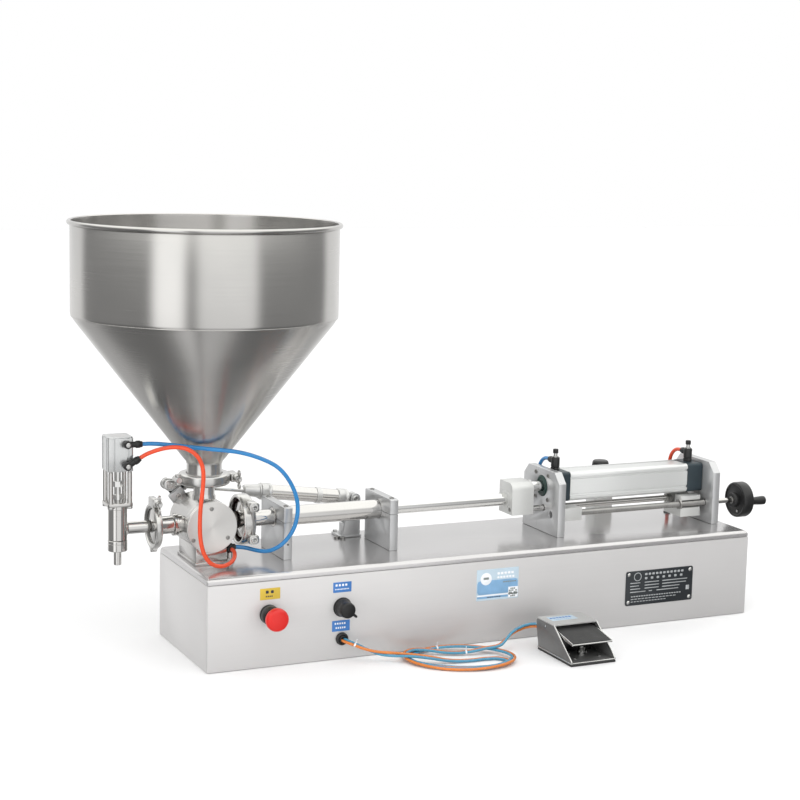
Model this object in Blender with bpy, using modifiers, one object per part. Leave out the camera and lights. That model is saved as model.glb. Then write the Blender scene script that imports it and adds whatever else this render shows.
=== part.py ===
"""Semi-automatic pneumatic piston filler with a conical hopper, built as separate pieces.

Units are metres, +Z is up.  The row frame has its origin at the centre of the cabinet's
underside, with +X along the cabinet from the nozzle end to the handwheel end and +Y from
the front panel to the back.  Stations are measured from the cabinet's left end (x), its
front panel (y) and its underside (z), and at() turns a station into the row frame.
"""
from math import atan2, ceil, cos, hypot, pi, radians, sin

import bmesh
import bpy
from mathutils import Vector

# ---------------------------------------------------------------- driving dimensions
CABINET_LENGTH = 0.900
CABINET_DEPTH = 0.212
CABINET_HEIGHT = 0.1335
SHEET = 0.002            # cabinet and cover sheet
LID_LIP = 0.009          # height of the cover's turned-down edge
GAP = 0.0003             # clearance between touching pieces

LINE_Y = 0.114           # the product line's vertical plane
LINE_Z = 0.188           # the product line's axis height
BOTTLE_Z = 0.1365        # lowest point of the nozzle tip

HOPPER_X = 0.034         # hopper, valve and spindle share this station
HOPPER_RIM_Z = 0.617
HOPPER_RADIUS = 0.187
HOPPER_DRUM_Z = 0.4848   # where drum and cone meet
HOPPER_NECK_RADIUS = 0.025
HOPPER_WALL = 0.0018

VALVE_RADIUS = 0.037
VALVE_BORE = 0.024
VALVE_FRONT_Y = 0.0808
VALVE_REAR_Y = 0.158
SPINDLE_RADIUS = 0.008

NOZZLE_X = -0.093
NOZZLE_CLAMP_X = -0.0407  # middle plane of the clamp between outlet pipe and nozzle
FERRULE_RADIUS = 0.0255

METER_X0 = 0.1385        # left end of the metering cylinder's full diameter
METER_X1 = 0.3175
METER_RADIUS = 0.01425
PISTON_RADIUS = 0.0118
PISTON_ROD_RADIUS = 0.010

BLOCK_X0, BLOCK_X1 = 0.5235, 0.5615      # coupling block
FRONT_PLATE_X, REAR_PLATE_X = 0.5857, 0.8695
PLATE = 0.0128
PLATE_Y0, PLATE_Y1 = 0.059, 0.169
PLATE_TOP = 0.2325
AIR_Y, AIR_Z = 0.112, 0.205              # air cylinder axis
AIR_HALF = 0.023
AIR_BORE = 0.0163
AIR_ROD_RADIUS = 0.008

SCREW_Y, SCREW_Z = 0.082, 0.165          # adjusting screw axis
SCREW_RADIUS = 0.005
STOP_Y, STOP_Z = 0.106, 0.1715           # stop rod axis
STOP_RADIUS = 0.0045
WHEEL_RADIUS = 0.0285

ACTUATOR_Y = 0.178
PIVOT_X, PIVOT_Z = 0.2954, 0.1928        # rear pivot of the valve actuator
CRANK_LENGTH = 0.0554
CRANK_ANGLE = radians(126.6)             # from +X towards +Z

HOSE_RADIUS = 0.003
HOSE_BEND = 0.028                        # bend radius where a cylinder hose turns down
FITTING_Z = 0.2430                       # height of the air cylinder's side outlets
FITTING_REACH = 0.0172
FRONT_FITTING_X, REAR_FITTING_X = 0.6085, 0.8545
PAIR_RADIUS = 0.004                      # the pedal's two hoses, laid together
COIL_CENTRE = (0.358, -0.066, 0.0092)    # their spare length, looped in a flat oval
COIL_LENGTH, COIL_WIDTH, COIL_HEIGHT = 0.166, 0.112, 0.011
COIL_SKEW, COIL_TILT = 25.4, 2.5         # degrees in plan, and up towards the cabinet
PEDAL_X0, PEDAL_X1 = 0.4917, 0.5645
PEDAL_REAR_Y, PEDAL_TOE_Y = -0.057, -0.154
PEDAL_TOP = 0.047
PEDAL_OVERHANG = 0.009                   # the cover's rear edge stands back over the base

HOSE_STUB = 0.0058       # straight start of an air hose behind its fitting
HOSE_DROP_Y = AIR_Y + FITTING_REACH + HOSE_STUB + HOSE_BEND
ESTOP_X, ESTOP_Z = 0.0905, 0.0768
DIAL_X, DIAL_Z = 0.2025, 0.076
GROMMET_X, GROMMET_Z = 0.2020, 0.0300
REGULATOR_X, REGULATOR_Y = 0.766, 0.2335

AXIS_TURN = {
    "X": (0.0, pi / 2, 0.0),
    "Y": (-pi / 2, 0.0, 0.0),
    "Z": (0.0, 0.0, 0.0),
    "FRONT": (pi / 2, 0.0, 0.0),         # out of the front panel, towards the user
}
# A flat outline lies in a plane; this turns its own X, Y, Z into the plane's axes.
OUTLINE_TURN = {
    "YZ": (pi / 2, 0.0, pi / 2),
    "XZ": (pi / 2, 0.0, 0.0),
    "XY": (0.0, 0.0, 0.0),
}


def at(x, y, z):
    """A point of the row frame from stations along the cabinet."""
    return Vector((x - CABINET_LENGTH / 2, y - CABINET_DEPTH / 2, z))


# ---------------------------------------------------------------- scene and materials
for old in list(bpy.data.objects):
    bpy.data.objects.remove(old, do_unlink=True)

PARTS = bpy.data.collections.new("piston_filler")
CUTTERS = bpy.data.collections.new("piston_filler_cutters")
bpy.context.scene.collection.children.link(PARTS)
bpy.context.scene.collection.children.link(CUTTERS)


def material(name, colour, roughness, metallic):
    made = bpy.data.materials.new(name)
    made.use_nodes = True
    shader = made.node_tree.nodes["Principled BSDF"]
    shader.inputs["Base Color"].default_value = (*colour, 1.0)
    shader.inputs["Roughness"].default_value = roughness
    shader.inputs["Metallic"].default_value = metallic
    return made


CABINET_STEEL = material("cabinet_steel", (0.74, 0.74, 0.73), 0.38, 0.85)
POLISHED = material("polished_steel", (0.78, 0.77, 0.75), 0.16, 1.0)
CHROME = material("chrome", (0.86, 0.86, 0.86), 0.06, 1.0)
CAST = material("cast_steel", (0.55, 0.55, 0.54), 0.42, 1.0)
ALUMINIUM = material("aluminium", (0.82, 0.83, 0.84), 0.36, 0.9)
BLACK = material("black_plastic", (0.02, 0.02, 0.022), 0.42, 0.0)
DARK_CAP = material("dark_cap", (0.09, 0.11, 0.13), 0.45, 0.3)
RED = material("red_plastic", (0.75, 0.03, 0.02), 0.35, 0.0)
RUBBER = material("black_rubber", (0.03, 0.03, 0.03), 0.75, 0.0)
GREY_PAINT = material("dark_grey_paint", (0.13, 0.13, 0.13), 0.45, 0.4)
BLUE_HOSE = material("blue_hose", (0.03, 0.25, 0.72), 0.35, 0.0)
ORANGE_HOSE = material("orange_hose", (0.9, 0.16, 0.04), 0.35, 0.0)
TWIN_HOSE = material("twin_hose", (0.75, 0.3, 0.1), 0.4, 0.0)


def add(name, mesh, mat):
    """Link a mesh or curve as a part, or as a cutter when it has no material."""
    piece = bpy.data.objects.new(name, mesh)
    if mat is None:
        CUTTERS.objects.link(piece)
        piece.hide_render = True
        piece.display_type = "WIRE"
    else:
        PARTS.objects.link(piece)
        mesh.materials.append(mat)
    return piece


# ---------------------------------------------------------------- shape helpers
def box(name, low, high, mat=None, bevel=0.0, segments=1):
    """A block between two corners, with every edge rounded by bevel."""
    mesh = bpy.data.meshes.new(name)
    shape = bmesh.new()
    bmesh.ops.create_cube(shape, size=1.0)
    size = [high[i] - low[i] for i in range(3)]
    bmesh.ops.scale(shape, vec=size, verts=shape.verts)
    shape.to_mesh(mesh)
    shape.free()
    piece = add(name, mesh, mat)
    piece.location = (Vector(low) + Vector(high)) / 2
    if bevel:
        rounding = piece.modifiers.new("rounding", "BEVEL")
        rounding.width = bevel
        rounding.segments = segments
        rounding.limit_method = "ANGLE"
    return piece


def rod(name, start, end, radius, mat=None, sides=20, end_radius=None):
    """A cylinder, or a cone when end_radius is given, from start to end."""
    start, end = Vector(start), Vector(end)
    mesh = bpy.data.meshes.new(name)
    shape = bmesh.new()
    bmesh.ops.create_cone(
        shape,
        cap_ends=True,
        segments=sides,
        radius1=radius,
        radius2=radius if end_radius is None else end_radius,
        depth=(end - start).length,
    )
    shape.to_mesh(mesh)
    shape.free()
    mesh.shade_smooth()
    mesh.set_sharp_from_angle(angle=radians(40))
    piece = add(name, mesh, mat)
    piece.location = (start + end) / 2
    piece.rotation_euler = (end - start).to_track_quat("Z", "Y").to_euler()
    return piece


def turned(name, profile, origin, axis="Z", mat=None, steps=20, ring=False):
    """A turned shape: (radius, height) points down the outside, top to bottom."""
    mesh = bpy.data.meshes.new(name)
    verts = [(radius, 0.0, height) for radius, height in profile]
    edges = [(i, i + 1) for i in range(len(verts) - 1)]
    if ring:
        edges.append((len(verts) - 1, 0))
    mesh.from_pydata(verts, edges, [])
    piece = add(name, mesh, mat)
    piece.location = origin
    piece.rotation_euler = AXIS_TURN[axis]
    lathe = piece.modifiers.new("lathe", "SCREW")
    lathe.steps = steps
    lathe.render_steps = steps
    lathe.use_merge_vertices = True
    lathe.merge_threshold = 0.00005
    return piece


def outline(name, loops, thickness, centre, plane, mat=None):
    """A flat plate from closed loops of points, later loops being holes."""
    curve = bpy.data.curves.new(name, "CURVE")
    curve.dimensions = "2D"
    curve.fill_mode = "BOTH"
    curve.extrude = thickness / 2
    for loop in loops:
        spline = curve.splines.new("POLY")
        spline.points.add(len(loop) - 1)
        for point, (u, v) in zip(spline.points, loop):
            point.co = (u, v, 0.0, 1.0)
        spline.use_cyclic_u = True
    guide = bpy.data.objects.new(name + "_guide", curve)
    CUTTERS.objects.link(guide)
    guide.location = centre
    guide.rotation_euler = OUTLINE_TURN[plane]
    bpy.context.view_layer.update()
    drawn = guide.evaluated_get(bpy.context.evaluated_depsgraph_get())
    mesh = bpy.data.meshes.new_from_object(drawn)
    shape = bmesh.new()
    shape.from_mesh(mesh)
    bmesh.ops.remove_doubles(shape, verts=shape.verts, dist=0.00001)
    bmesh.ops.recalc_face_normals(shape, faces=shape.faces)
    shape.to_mesh(mesh)
    shape.free()
    piece = add(name, mesh, mat)
    piece.matrix_world = guide.matrix_world
    bpy.data.objects.remove(guide, do_unlink=True)
    return piece


def arc(u, v, radius, start, end, count):
    """Points of an arc, angles in degrees."""
    steps = [radians(start + (end - start) * i / count) for i in range(count + 1)]
    return [(u + radius * cos(a), v + radius * sin(a)) for a in steps]


def circle(u, v, radius, count=24):
    return arc(u, v, radius, 0, 360, count)[:-1]


def rounded_square(half, corner):
    inset = half - corner
    quarters = ((1, 1, 0), (-1, 1, 90), (-1, -1, 180), (1, -1, 270))
    return [point for u, v, start in quarters
            for point in arc(u * inset, v * inset, corner, start, start + 90, 4)]


def combine(piece, operation, others):
    for other in others:
        step = piece.modifiers.new(operation.lower(), "BOOLEAN")
        step.operation = operation
        step.object = other
        step.solver = "EXACT"
    return piece


def cut(piece, *cutters):
    return combine(piece, "DIFFERENCE", cutters)


def join(piece, *others):
    return combine(piece, "UNION", others)


def smooth_route(points, spacing):
    """Points at about the given spacing along a smooth curve through the route."""
    ends = [2 * points[0] - points[1], *points, 2 * points[-1] - points[-2]]
    route = [points[0]]
    for i in range(1, len(ends) - 2):
        a, b, c, d = ends[i - 1:i + 3]
        count = max(1, ceil((c - b).length / spacing))
        for step in range(1, count + 1):
            t = step / count
            route.append(
                0.5 * (2 * b + (c - a) * t + (2 * a - 5 * b + 4 * c - d) * t * t
                       + (3 * b - a - 3 * c + d) * t ** 3)
            )
    return route


def hose(name, stations, mat, radius=HOSE_RADIUS):
    """A free hose through hand-chosen stations."""
    curve = bpy.data.curves.new(name, "CURVE")
    curve.dimensions = "3D"
    curve.bevel_depth = radius
    curve.bevel_resolution = 2
    curve.use_fill_caps = True
    route = smooth_route([at(*s) for s in stations], spacing=radius * 5)
    spline = curve.splines.new("POLY")
    spline.points.add(len(route) - 1)
    for point, place in zip(spline.points, route):
        point.co = (*place, 1.0)
    return add(name, curve, mat)


def pivot(name, location, tilt=0.0):
    """An empty on a joint's axis, which carries the pieces that move with it."""
    empty = bpy.data.objects.new(name, None)
    empty.empty_display_size = 0.02
    PARTS.objects.link(empty)
    empty.location = location
    empty.rotation_euler = (0.0, tilt, 0.0)
    return empty


def carry(empty, *pieces):
    """Parent pieces, built in place, to the empty on their joint's axis."""
    bpy.context.view_layer.update()
    for piece in pieces:
        piece.parent = empty
        piece.matrix_parent_inverse = empty.matrix_world.inverted()


# ---------------------------------------------------------------- cabinet
def build_cabinet():
    body_top = CABINET_HEIGHT - LID_LIP - GAP
    far = at(CABINET_LENGTH, CABINET_DEPTH, body_top)
    body = box("cabinet_body", at(0, 0, 0), far, CABINET_STEEL)
    inside = box(
        "cabinet_inside",
        at(SHEET, SHEET, SHEET),
        at(CABINET_LENGTH - SHEET, CABINET_DEPTH - SHEET, CABINET_HEIGHT),
    )
    holes = [
        rod("estop_hole", at(ESTOP_X, -0.01, ESTOP_Z), at(ESTOP_X, 0.01, ESTOP_Z), 0.0115),
        rod("dial_hole", at(DIAL_X, -0.01, DIAL_Z), at(DIAL_X, 0.01, DIAL_Z), 0.0055),
        rod("grommet_hole", at(GROMMET_X, -0.01, GROMMET_Z),
            at(GROMMET_X, 0.01, GROMMET_Z), 0.0074),
    ]
    cut(body, inside, *holes)

    lid = box(
        "cabinet_lid",
        at(0, 0, CABINET_HEIGHT - LID_LIP),
        at(CABINET_LENGTH, CABINET_DEPTH, CABINET_HEIGHT),
        CABINET_STEEL,
    )
    crown = lid.modifiers.new("crown", "BEVEL")
    crown.width = 0.006
    crown.segments = 4
    crown.limit_method = "WEIGHT"
    top_edges = lid.data.attributes.new("bevel_weight_edge", "FLOAT", "EDGE")
    for edge in lid.data.edges:
        heights = [lid.data.vertices[v].co.z for v in edge.vertices]
        top_edges.data[edge.index].value = 1.0 if min(heights) > 0 else 0.0
    recess = box(
        "lid_recess",
        at(SHEET, SHEET, 0.1),
        at(CABINET_LENGTH - SHEET, CABINET_DEPTH - SHEET, CABINET_HEIGHT - SHEET),
    )
    drops = [
        rod("hose_drop_%d" % i, at(x, y, 0.12), at(x, y, 0.14), 0.004, sides=16)
        for i, (x, y) in enumerate(((FRONT_FITTING_X, HOSE_DROP_Y), (REAR_FITTING_X, HOSE_DROP_Y)))
    ]
    cut(lid, recess, *drops)

    box("control_valve_block", at(0.36, 0.085, SHEET + GAP), at(0.54, 0.135, 0.050),
        ALUMINIUM, bevel=0.002)
    turned(
        "hose_grommet",
        [(0.0080, 0.0050), (0.0092, 0.0040), (0.0092, GAP), (0.0071, GAP),
         (0.0071, -0.0050), (0.0056, -0.0050), (0.0056, 0.0050)],
        at(GROMMET_X, 0, GROMMET_Z), "FRONT", RUBBER, steps=16, ring=True)


# ---------------------------------------------------------------- controls on the front panel
def build_controls():
    front = at(ESTOP_X, 0, ESTOP_Z)
    turned(
        "estop_collar",
        [(0.0125, 0.0170), (0.0138, 0.0150), (0.0138, GAP), (0.0112, GAP),
         (0.0112, -0.0120), (0.0070, -0.0120), (0.0070, 0.0170)],
        front, "FRONT", BLACK, ring=True)
    head = turned(
        "estop_head",
        [(0.0, 0.0400), (0.0100, 0.0394), (0.0150, 0.0372), (0.0165, 0.0340),
         (0.0165, 0.0300), (0.0140, 0.0245), (0.0066, 0.0245), (0.0066, -0.0150),
         (0.0, -0.0150)],
        front, "FRONT", RED, steps=20)
    carry(pivot("estop_axis", front), head)

    dial = at(DIAL_X, 0, DIAL_Z)
    knob = turned(
        "dial_knob",
        [(0.0, 0.0230), (0.0095, 0.0230), (0.0110, 0.0215), (0.0118, 0.0060),
         (0.0118, 0.0008), (0.0050, 0.0008), (0.0050, -0.0120), (0.0, -0.0120)],
        dial, "FRONT", BLACK, steps=20)
    pointer = box("dial_pointer", at(DIAL_X - 0.002, -0.0225, DIAL_Z - 0.0158),
                  at(DIAL_X + 0.002, -0.0165, DIAL_Z))
    swing = pivot("dial_axis", dial)
    carry(swing, knob, pointer)
    swing.rotation_euler = (0.0, -radians(52), 0.0)
    join(knob, pointer)


# ---------------------------------------------------------------- hopper and its clamp
def build_hopper():
    neck_top = 0.2755
    foot = 0.2518
    wall = HOPPER_WALL
    inner = HOPPER_RADIUS - wall
    bead = 0.0045
    profile = [
        (inner, HOPPER_RIM_Z),
        (HOPPER_RADIUS, HOPPER_RIM_Z),
        (HOPPER_RADIUS + bead, HOPPER_RIM_Z - 0.0012),
        (HOPPER_RADIUS + bead, HOPPER_RIM_Z - 0.0058),
        (HOPPER_RADIUS, HOPPER_RIM_Z - 0.0070),
        (HOPPER_RADIUS - 0.001, HOPPER_DRUM_Z),
        (HOPPER_NECK_RADIUS, neck_top),
        (HOPPER_NECK_RADIUS, foot + 0.0030),
        (0.0320, foot + 0.0020),
        (0.0320, foot),
        (0.0110, foot),
        (HOPPER_NECK_RADIUS - wall, foot + 0.0090),
        (HOPPER_NECK_RADIUS - wall, neck_top + 0.0008),
        (inner - 0.001, HOPPER_DRUM_Z + 0.0008),
    ]
    centre = at(HOPPER_X, LINE_Y, 0)
    turned("hopper", profile, centre, "Z", POLISHED, steps=32, ring=True)
    clamp = turned(
        "hopper_clamp",
        [(0.0345, 0.2605), (0.0370, 0.2570), (0.0370, 0.2480), (0.0345, 0.2445),
         (0.0262, 0.2445), (0.0262, 0.2466), (0.0327, 0.2470), (0.0327, 0.2560),
         (0.0262, 0.2570), (0.0262, 0.2605)],
        centre, "Z", CAST, steps=28, ring=True)
    lug = box("hopper_clamp_lug", at(0.0695, 0.0985, 0.2465), at(0.0820, 0.1250, 0.2585))
    stud = rod("hopper_clamp_stud", at(0.0765, 0.0800, 0.2525), at(0.0765, 0.1000, 0.2525),
               0.0025, sides=12)
    knuckle = rod("hopper_clamp_knuckle", at(-0.0055, LINE_Y, 0.2455),
                  at(-0.0055, LINE_Y, 0.2595), 0.0045, sides=16)
    join(clamp, lug, stud, knuckle)
    wing_nut("hopper_wing_nut", 0.0765, 0.0978, 0.2525)


def wing_nut(name, x, y, z):
    """A wing nut whose axis runs front to back, its back face at station y."""
    hub = rod(name, at(x, y - 0.0125, z), at(x, y, z), 0.0055, CAST, sides=20)
    wings = [
        box("%s_wing_%d" % (name, side), at(x - 0.0012, y - 0.0165, z + low),
            at(x + 0.0012, y - 0.0090, z + low + 0.0095), bevel=0.001)
        for side, low in enumerate((0.0040, -0.0135))
    ]
    bore = rod(name + "_bore", at(x, y - 0.02, z), at(x, y + 0.02, z), 0.0029, sides=12)
    cut(join(hub, *wings), bore)
    carry(pivot(name + "_axis", at(x, y, z)), hub)


# ---------------------------------------------------------------- three-way valve
def build_valve():
    centre_z = LINE_Z
    body = rod("valve_body", at(HOPPER_X, VALVE_FRONT_Y, centre_z),
               at(HOPPER_X, VALVE_REAR_Y, centre_z), VALVE_RADIUS, POLISHED, sides=32)
    neck = turned(
        "valve_neck",
        [(0.0, 0.2508), (0.0320, 0.2508), (0.0320, 0.2490), (0.0150, 0.2478),
         (0.0150, 0.1900), (0.0, 0.1900)],
        at(HOPPER_X, LINE_Y, 0), "Z", steps=24)
    left = rod("valve_left_stub", at(-0.0060, LINE_Y, LINE_Z), at(0.02, LINE_Y, LINE_Z), 0.0135)
    right = turned(
        "valve_right_stub",
        [(0.0, 0.0898), (FERRULE_RADIUS, 0.0898), (FERRULE_RADIUS, 0.0880),
         (0.0125, 0.0868), (0.0125, 0.0450), (0.0, 0.0450)],
        at(0, LINE_Y, LINE_Z), "X", steps=20)
    foot = box("valve_foot", at(0.0110, 0.0785, CABINET_HEIGHT + GAP),
               at(0.0570, 0.1560, 0.1600), bevel=0.0008)
    cut(foot, box("valve_foot_relief", at(0.0, 0.070, 0.1485), at(0.07, 0.0805, 0.17)))
    join(body, neck, left, right, foot)
    bore = rod("valve_bore", at(HOPPER_X, 0.07, LINE_Z), at(HOPPER_X, 0.150, LINE_Z),
               VALVE_BORE, sides=32)
    spindle_hole = rod("valve_spindle_hole", at(HOPPER_X, 0.14, LINE_Z),
                       at(HOPPER_X, 0.17, LINE_Z), 0.0084)
    top_port = rod("valve_top_port", at(HOPPER_X, LINE_Y, LINE_Z),
                   at(HOPPER_X, LINE_Y, 0.26), 0.0105)
    side_ports = rod("valve_side_ports", at(-0.02, LINE_Y, LINE_Z),
                     at(0.10, LINE_Y, LINE_Z), 0.0095)
    cut(body, bore, spindle_hole, top_port, side_ports)

    rod("valve_cover", at(HOPPER_X, 0.0765, LINE_Z), at(HOPPER_X, VALVE_FRONT_Y - GAP, LINE_Z),
        0.038, POLISHED, sides=32)

    spool = rod("valve_spool", at(HOPPER_X, VALVE_FRONT_Y + GAP, LINE_Z),
                at(HOPPER_X, 0.1497, LINE_Z), VALVE_BORE - 0.0003, CHROME, sides=32)
    spindle = rod("valve_spindle", at(HOPPER_X, 0.14, LINE_Z), at(HOPPER_X, 0.1715, LINE_Z),
                  SPINDLE_RADIUS)
    down = rod("spool_top_passage", at(HOPPER_X, LINE_Y, LINE_Z - 0.009),
               at(HOPPER_X, LINE_Y, LINE_Z + 0.03), 0.009)
    across = rod("spool_side_passage", at(HOPPER_X - 0.009, LINE_Y, LINE_Z),
                 at(HOPPER_X + 0.03, LINE_Y, LINE_Z), 0.009)
    cut(join(spool, spindle), down, across)

    carry(pivot("valve_axis", at(HOPPER_X, LINE_Y, LINE_Z)), spool, build_crank())


def build_crank():
    """Lever clamped on the spindle, with the flat lug that the actuator's fork straddles."""
    lever = box("crank_lever", at(HOPPER_X - 0.0140, 0.1600, LINE_Z - 0.0125),
                at(HOPPER_X + 0.0260, 0.1735, LINE_Z + 0.0125), CAST, bevel=0.0015)
    lug = outline(
        "crank_lug",
        [[(0.010, -0.005), *arc(CRANK_LENGTH, 0.0, 0.005, -90, 90, 8), (0.010, 0.005)]],
        0.0085, at(HOPPER_X, ACTUATOR_Y - 0.00125, LINE_Z), "XZ")
    lug_relief = box("crank_lug_relief", at(HOPPER_X + 0.027, 0.17, LINE_Z - 0.02),
                     at(HOPPER_X + 0.08, 0.1750, LINE_Z + 0.02))
    bore = rod("crank_bore", at(HOPPER_X, 0.155, LINE_Z), at(HOPPER_X, 0.1719, LINE_Z), 0.0083)
    cut(join(lever, lug), lug_relief, bore)
    turn = pivot("crank_angle", at(HOPPER_X, ACTUATOR_Y, LINE_Z))
    carry(turn, lever, lug, lug_relief, bore)
    turn.rotation_euler = (0.0, -CRANK_ANGLE, 0.0)
    return turn


# ---------------------------------------------------------------- outlet and nozzle
def build_outlet():
    line = at(0, LINE_Y, LINE_Z)
    middle = NOZZLE_CLAMP_X
    turned(
        "outlet_pipe",
        [(0.0095, -0.0063), (0.0155, -0.0063), (0.0160, -0.0080), (0.0160, -0.0120),
         (0.0155, -0.0135), (0.0128, -0.0135), (0.0128, middle + 0.0034),
         (0.0240, middle + 0.0025), (0.0240, middle + 0.0007), (0.0095, middle + 0.0007)],
        line, "X", POLISHED, steps=20, ring=True)
    clamp = turned(
        "nozzle_clamp",
        [(0.0305, middle + 0.0047), (0.0320, middle + 0.0032), (0.0320, middle - 0.0031),
         (0.0305, middle - 0.0046), (0.0185, middle - 0.0046), (0.0185, middle - 0.0034),
         (0.0246, middle - 0.0026), (0.0246, middle + 0.0027), (0.0185, middle + 0.0035),
         (0.0185, middle + 0.0047)],
        line, "X", CAST, steps=24, ring=True)
    lug = box("nozzle_clamp_lug", at(middle - 0.0045, 0.1000, 0.2165),
              at(middle + 0.0045, 0.1250, 0.2290))
    stud = rod("nozzle_clamp_stud", at(middle, 0.0815, 0.2235), at(middle, 0.1040, 0.2235),
               0.0025, sides=12)
    knuckle = rod("nozzle_clamp_knuckle", at(middle - 0.0044, LINE_Y, 0.1545),
                  at(middle + 0.0044, LINE_Y, 0.1545), 0.0040, sides=16)
    join(clamp, lug, stud, knuckle)
    wing_nut("nozzle_wing_nut", middle, 0.0993, 0.2235)


def build_nozzle():
    axis = at(NOZZLE_X, LINE_Y, 0)
    half = 0.018
    barrel = rod("nozzle_barrel", axis + Vector((0, 0, 0.1725)), axis + Vector((0, 0, 0.2230)),
                 0.0134, POLISHED, sides=32)
    flange = outline("nozzle_flange", [rounded_square(half, 0.005)], 0.0050,
                     axis + Vector((0, 0, 0.2245)), "XY")
    posts = [
        rod("nozzle_post_%d%d" % (i, j), at(NOZZLE_X + i * 0.0135, LINE_Y + j * 0.0135, 0.2250),
            at(NOZZLE_X + i * 0.0135, LINE_Y + j * 0.0135, 0.2717), 0.0034, sides=16)
        for i in (-1, 1) for j in (-1, 1)
    ]
    side = turned(
        "nozzle_side_pipe",
        [(0.0, NOZZLE_CLAMP_X), (0.0240, NOZZLE_CLAMP_X), (0.0240, NOZZLE_CLAMP_X - 0.0019),
         (0.0087, NOZZLE_CLAMP_X - 0.0031), (0.0087, -0.0850), (0.0, -0.0850)],
        at(0, LINE_Y, LINE_Z), "X", steps=20)
    join(barrel, flange, *posts, side)
    bore = rod("nozzle_bore", axis + Vector((0, 0, 0.165)), axis + Vector((0, 0, 0.216)),
               0.0100, sides=24)
    gland = rod("nozzle_gland", axis + Vector((0, 0, 0.21)), axis + Vector((0, 0, 0.23)),
                0.0054, sides=16)
    inlet = rod("nozzle_inlet", at(-0.090, LINE_Y, LINE_Z), at(-0.02, LINE_Y, LINE_Z), 0.0065)
    cut(barrel, bore, gland, inlet)

    turned(
        "nozzle_tip",
        [(0.0090, 0.1722), (0.0137, 0.1722), (0.0137, 0.1575), (0.0130, 0.1568),
         (0.0054, 0.1568), (0.0054, BOTTLE_Z), (0.0036, BOTTLE_Z), (0.0036, 0.1600),
         (0.0090, 0.1650)],
        axis, "Z", POLISHED, steps=20, ring=True)

    body = outline("nozzle_air_cylinder", [rounded_square(half, 0.006)], 0.0485,
                   axis + Vector((0, 0, 0.29625)), "XY", ALUMINIUM)
    chamber = rod("nozzle_air_chamber", axis + Vector((0, 0, 0.2765)),
                  axis + Vector((0, 0, 0.3140)), 0.0125, sides=24)
    rod_hole = rod("nozzle_air_rod_hole", axis + Vector((0, 0, 0.26)),
                   axis + Vector((0, 0, 0.28)), 0.0054, sides=16)
    cut(body, chamber, rod_hole)

    needle = turned(
        "nozzle_needle",
        [(0.0, 0.2880), (0.0120, 0.2880), (0.0120, 0.2775), (0.0050, 0.2775),
         (0.0050, 0.1680), (0.0, 0.1615)],
        axis, "Z", CHROME, steps=24)
    carry(pivot("needle_axis", axis + Vector((0, 0, 0.1615))), needle)

    front = LINE_Y - half - GAP
    for name, z, rise in (("nozzle_elbow_upper", 0.3110, 0.0), ("nozzle_elbow_lower", 0.2805, 0.55)):
        x = NOZZLE_X + 0.0070
        banjo = rod(name, at(x, front, z), at(x, front - 0.0125, z), 0.0055, BLACK, sides=20)
        reach = 0.0205
        arm = rod(name + "_arm", at(x, front - 0.0065, z),
                  at(x + reach * cos(rise), front - 0.0065, z + reach * sin(rise)), 0.0048, sides=20)
        join(banjo, arm)


# ---------------------------------------------------------------- metering cylinder and supports
def build_metering():
    line = at(0, LINE_Y, LINE_Z)
    turned(
        "metering_cylinder",
        [(0.0103, METER_X1), (METER_RADIUS, METER_X1), (METER_RADIUS, METER_X0),
         (0.0116, METER_X0), (0.0116, 0.0950), (FERRULE_RADIUS, 0.0938),
         (FERRULE_RADIUS, 0.0918), (0.0090, 0.0918), (0.0090, 0.1400), (0.0121, 0.1420),
         (0.0121, 0.3120), (0.0103, 0.3120)],
        line, "X", POLISHED, steps=20, ring=True)

    clamp = turned(
        "cylinder_clamp",
        [(0.0350, 0.1010), (0.0370, 0.0990), (0.0370, 0.0850), (0.0345, 0.0830),
         (0.0300, 0.0830), (0.0262, 0.0870), (0.0262, 0.0945), (0.0150, 0.0960),
         (0.0150, 0.1010)],
        line, "X", CAST, steps=28, ring=True)
    lugs = [
        box("cylinder_clamp_lug_%d" % i, at(0.0880, 0.0720, z - 0.0070),
            at(0.1030, 0.0900, z + 0.0070), bevel=0.0015)
        for i, z in enumerate((0.2130, 0.1660))
    ]
    join(clamp, *lugs)

    for name, x in (("left_support", 0.1390), ("right_support", 0.3065)):
        thick = 0.0130
        y0, y1, seam = 0.0686, 0.1596, 0.0003
        grip = METER_RADIUS + GAP
        centre = at(x + thick / 2, 0, 0)
        shift = CABINET_DEPTH / 2
        left = LINE_Y - shift - grip
        right = LINE_Y - shift + grip
        notch = arc(LINE_Y - shift, LINE_Z, grip, 180, 360, 14)
        crest = arc(LINE_Y - shift, LINE_Z, grip, 180, 0, 14)
        flat = Vector((centre.x, 0, 0))
        outline(
            name + "_lower",
            [[(y0 - shift, CABINET_HEIGHT + GAP), (y0 - shift, LINE_Z - seam),
              (left, LINE_Z - seam), *notch[1:-1], (right, LINE_Z - seam),
              (y1 - shift, LINE_Z - seam), (y1 - shift, CABINET_HEIGHT + GAP)]],
            thick, flat, "YZ", ALUMINIUM)
        outline(
            name + "_cap",
            [[(y0 - shift, LINE_Z + seam), (y0 - shift, 0.2085), (y0 - shift + 0.002, 0.2105),
              (y1 - shift - 0.002, 0.2105), (y1 - shift, 0.2085), (y1 - shift, LINE_Z + seam),
              (right, LINE_Z + seam), *crest[1:-1][::-1], (left, LINE_Z + seam)]],
            thick, flat, "YZ", ALUMINIUM)


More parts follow.
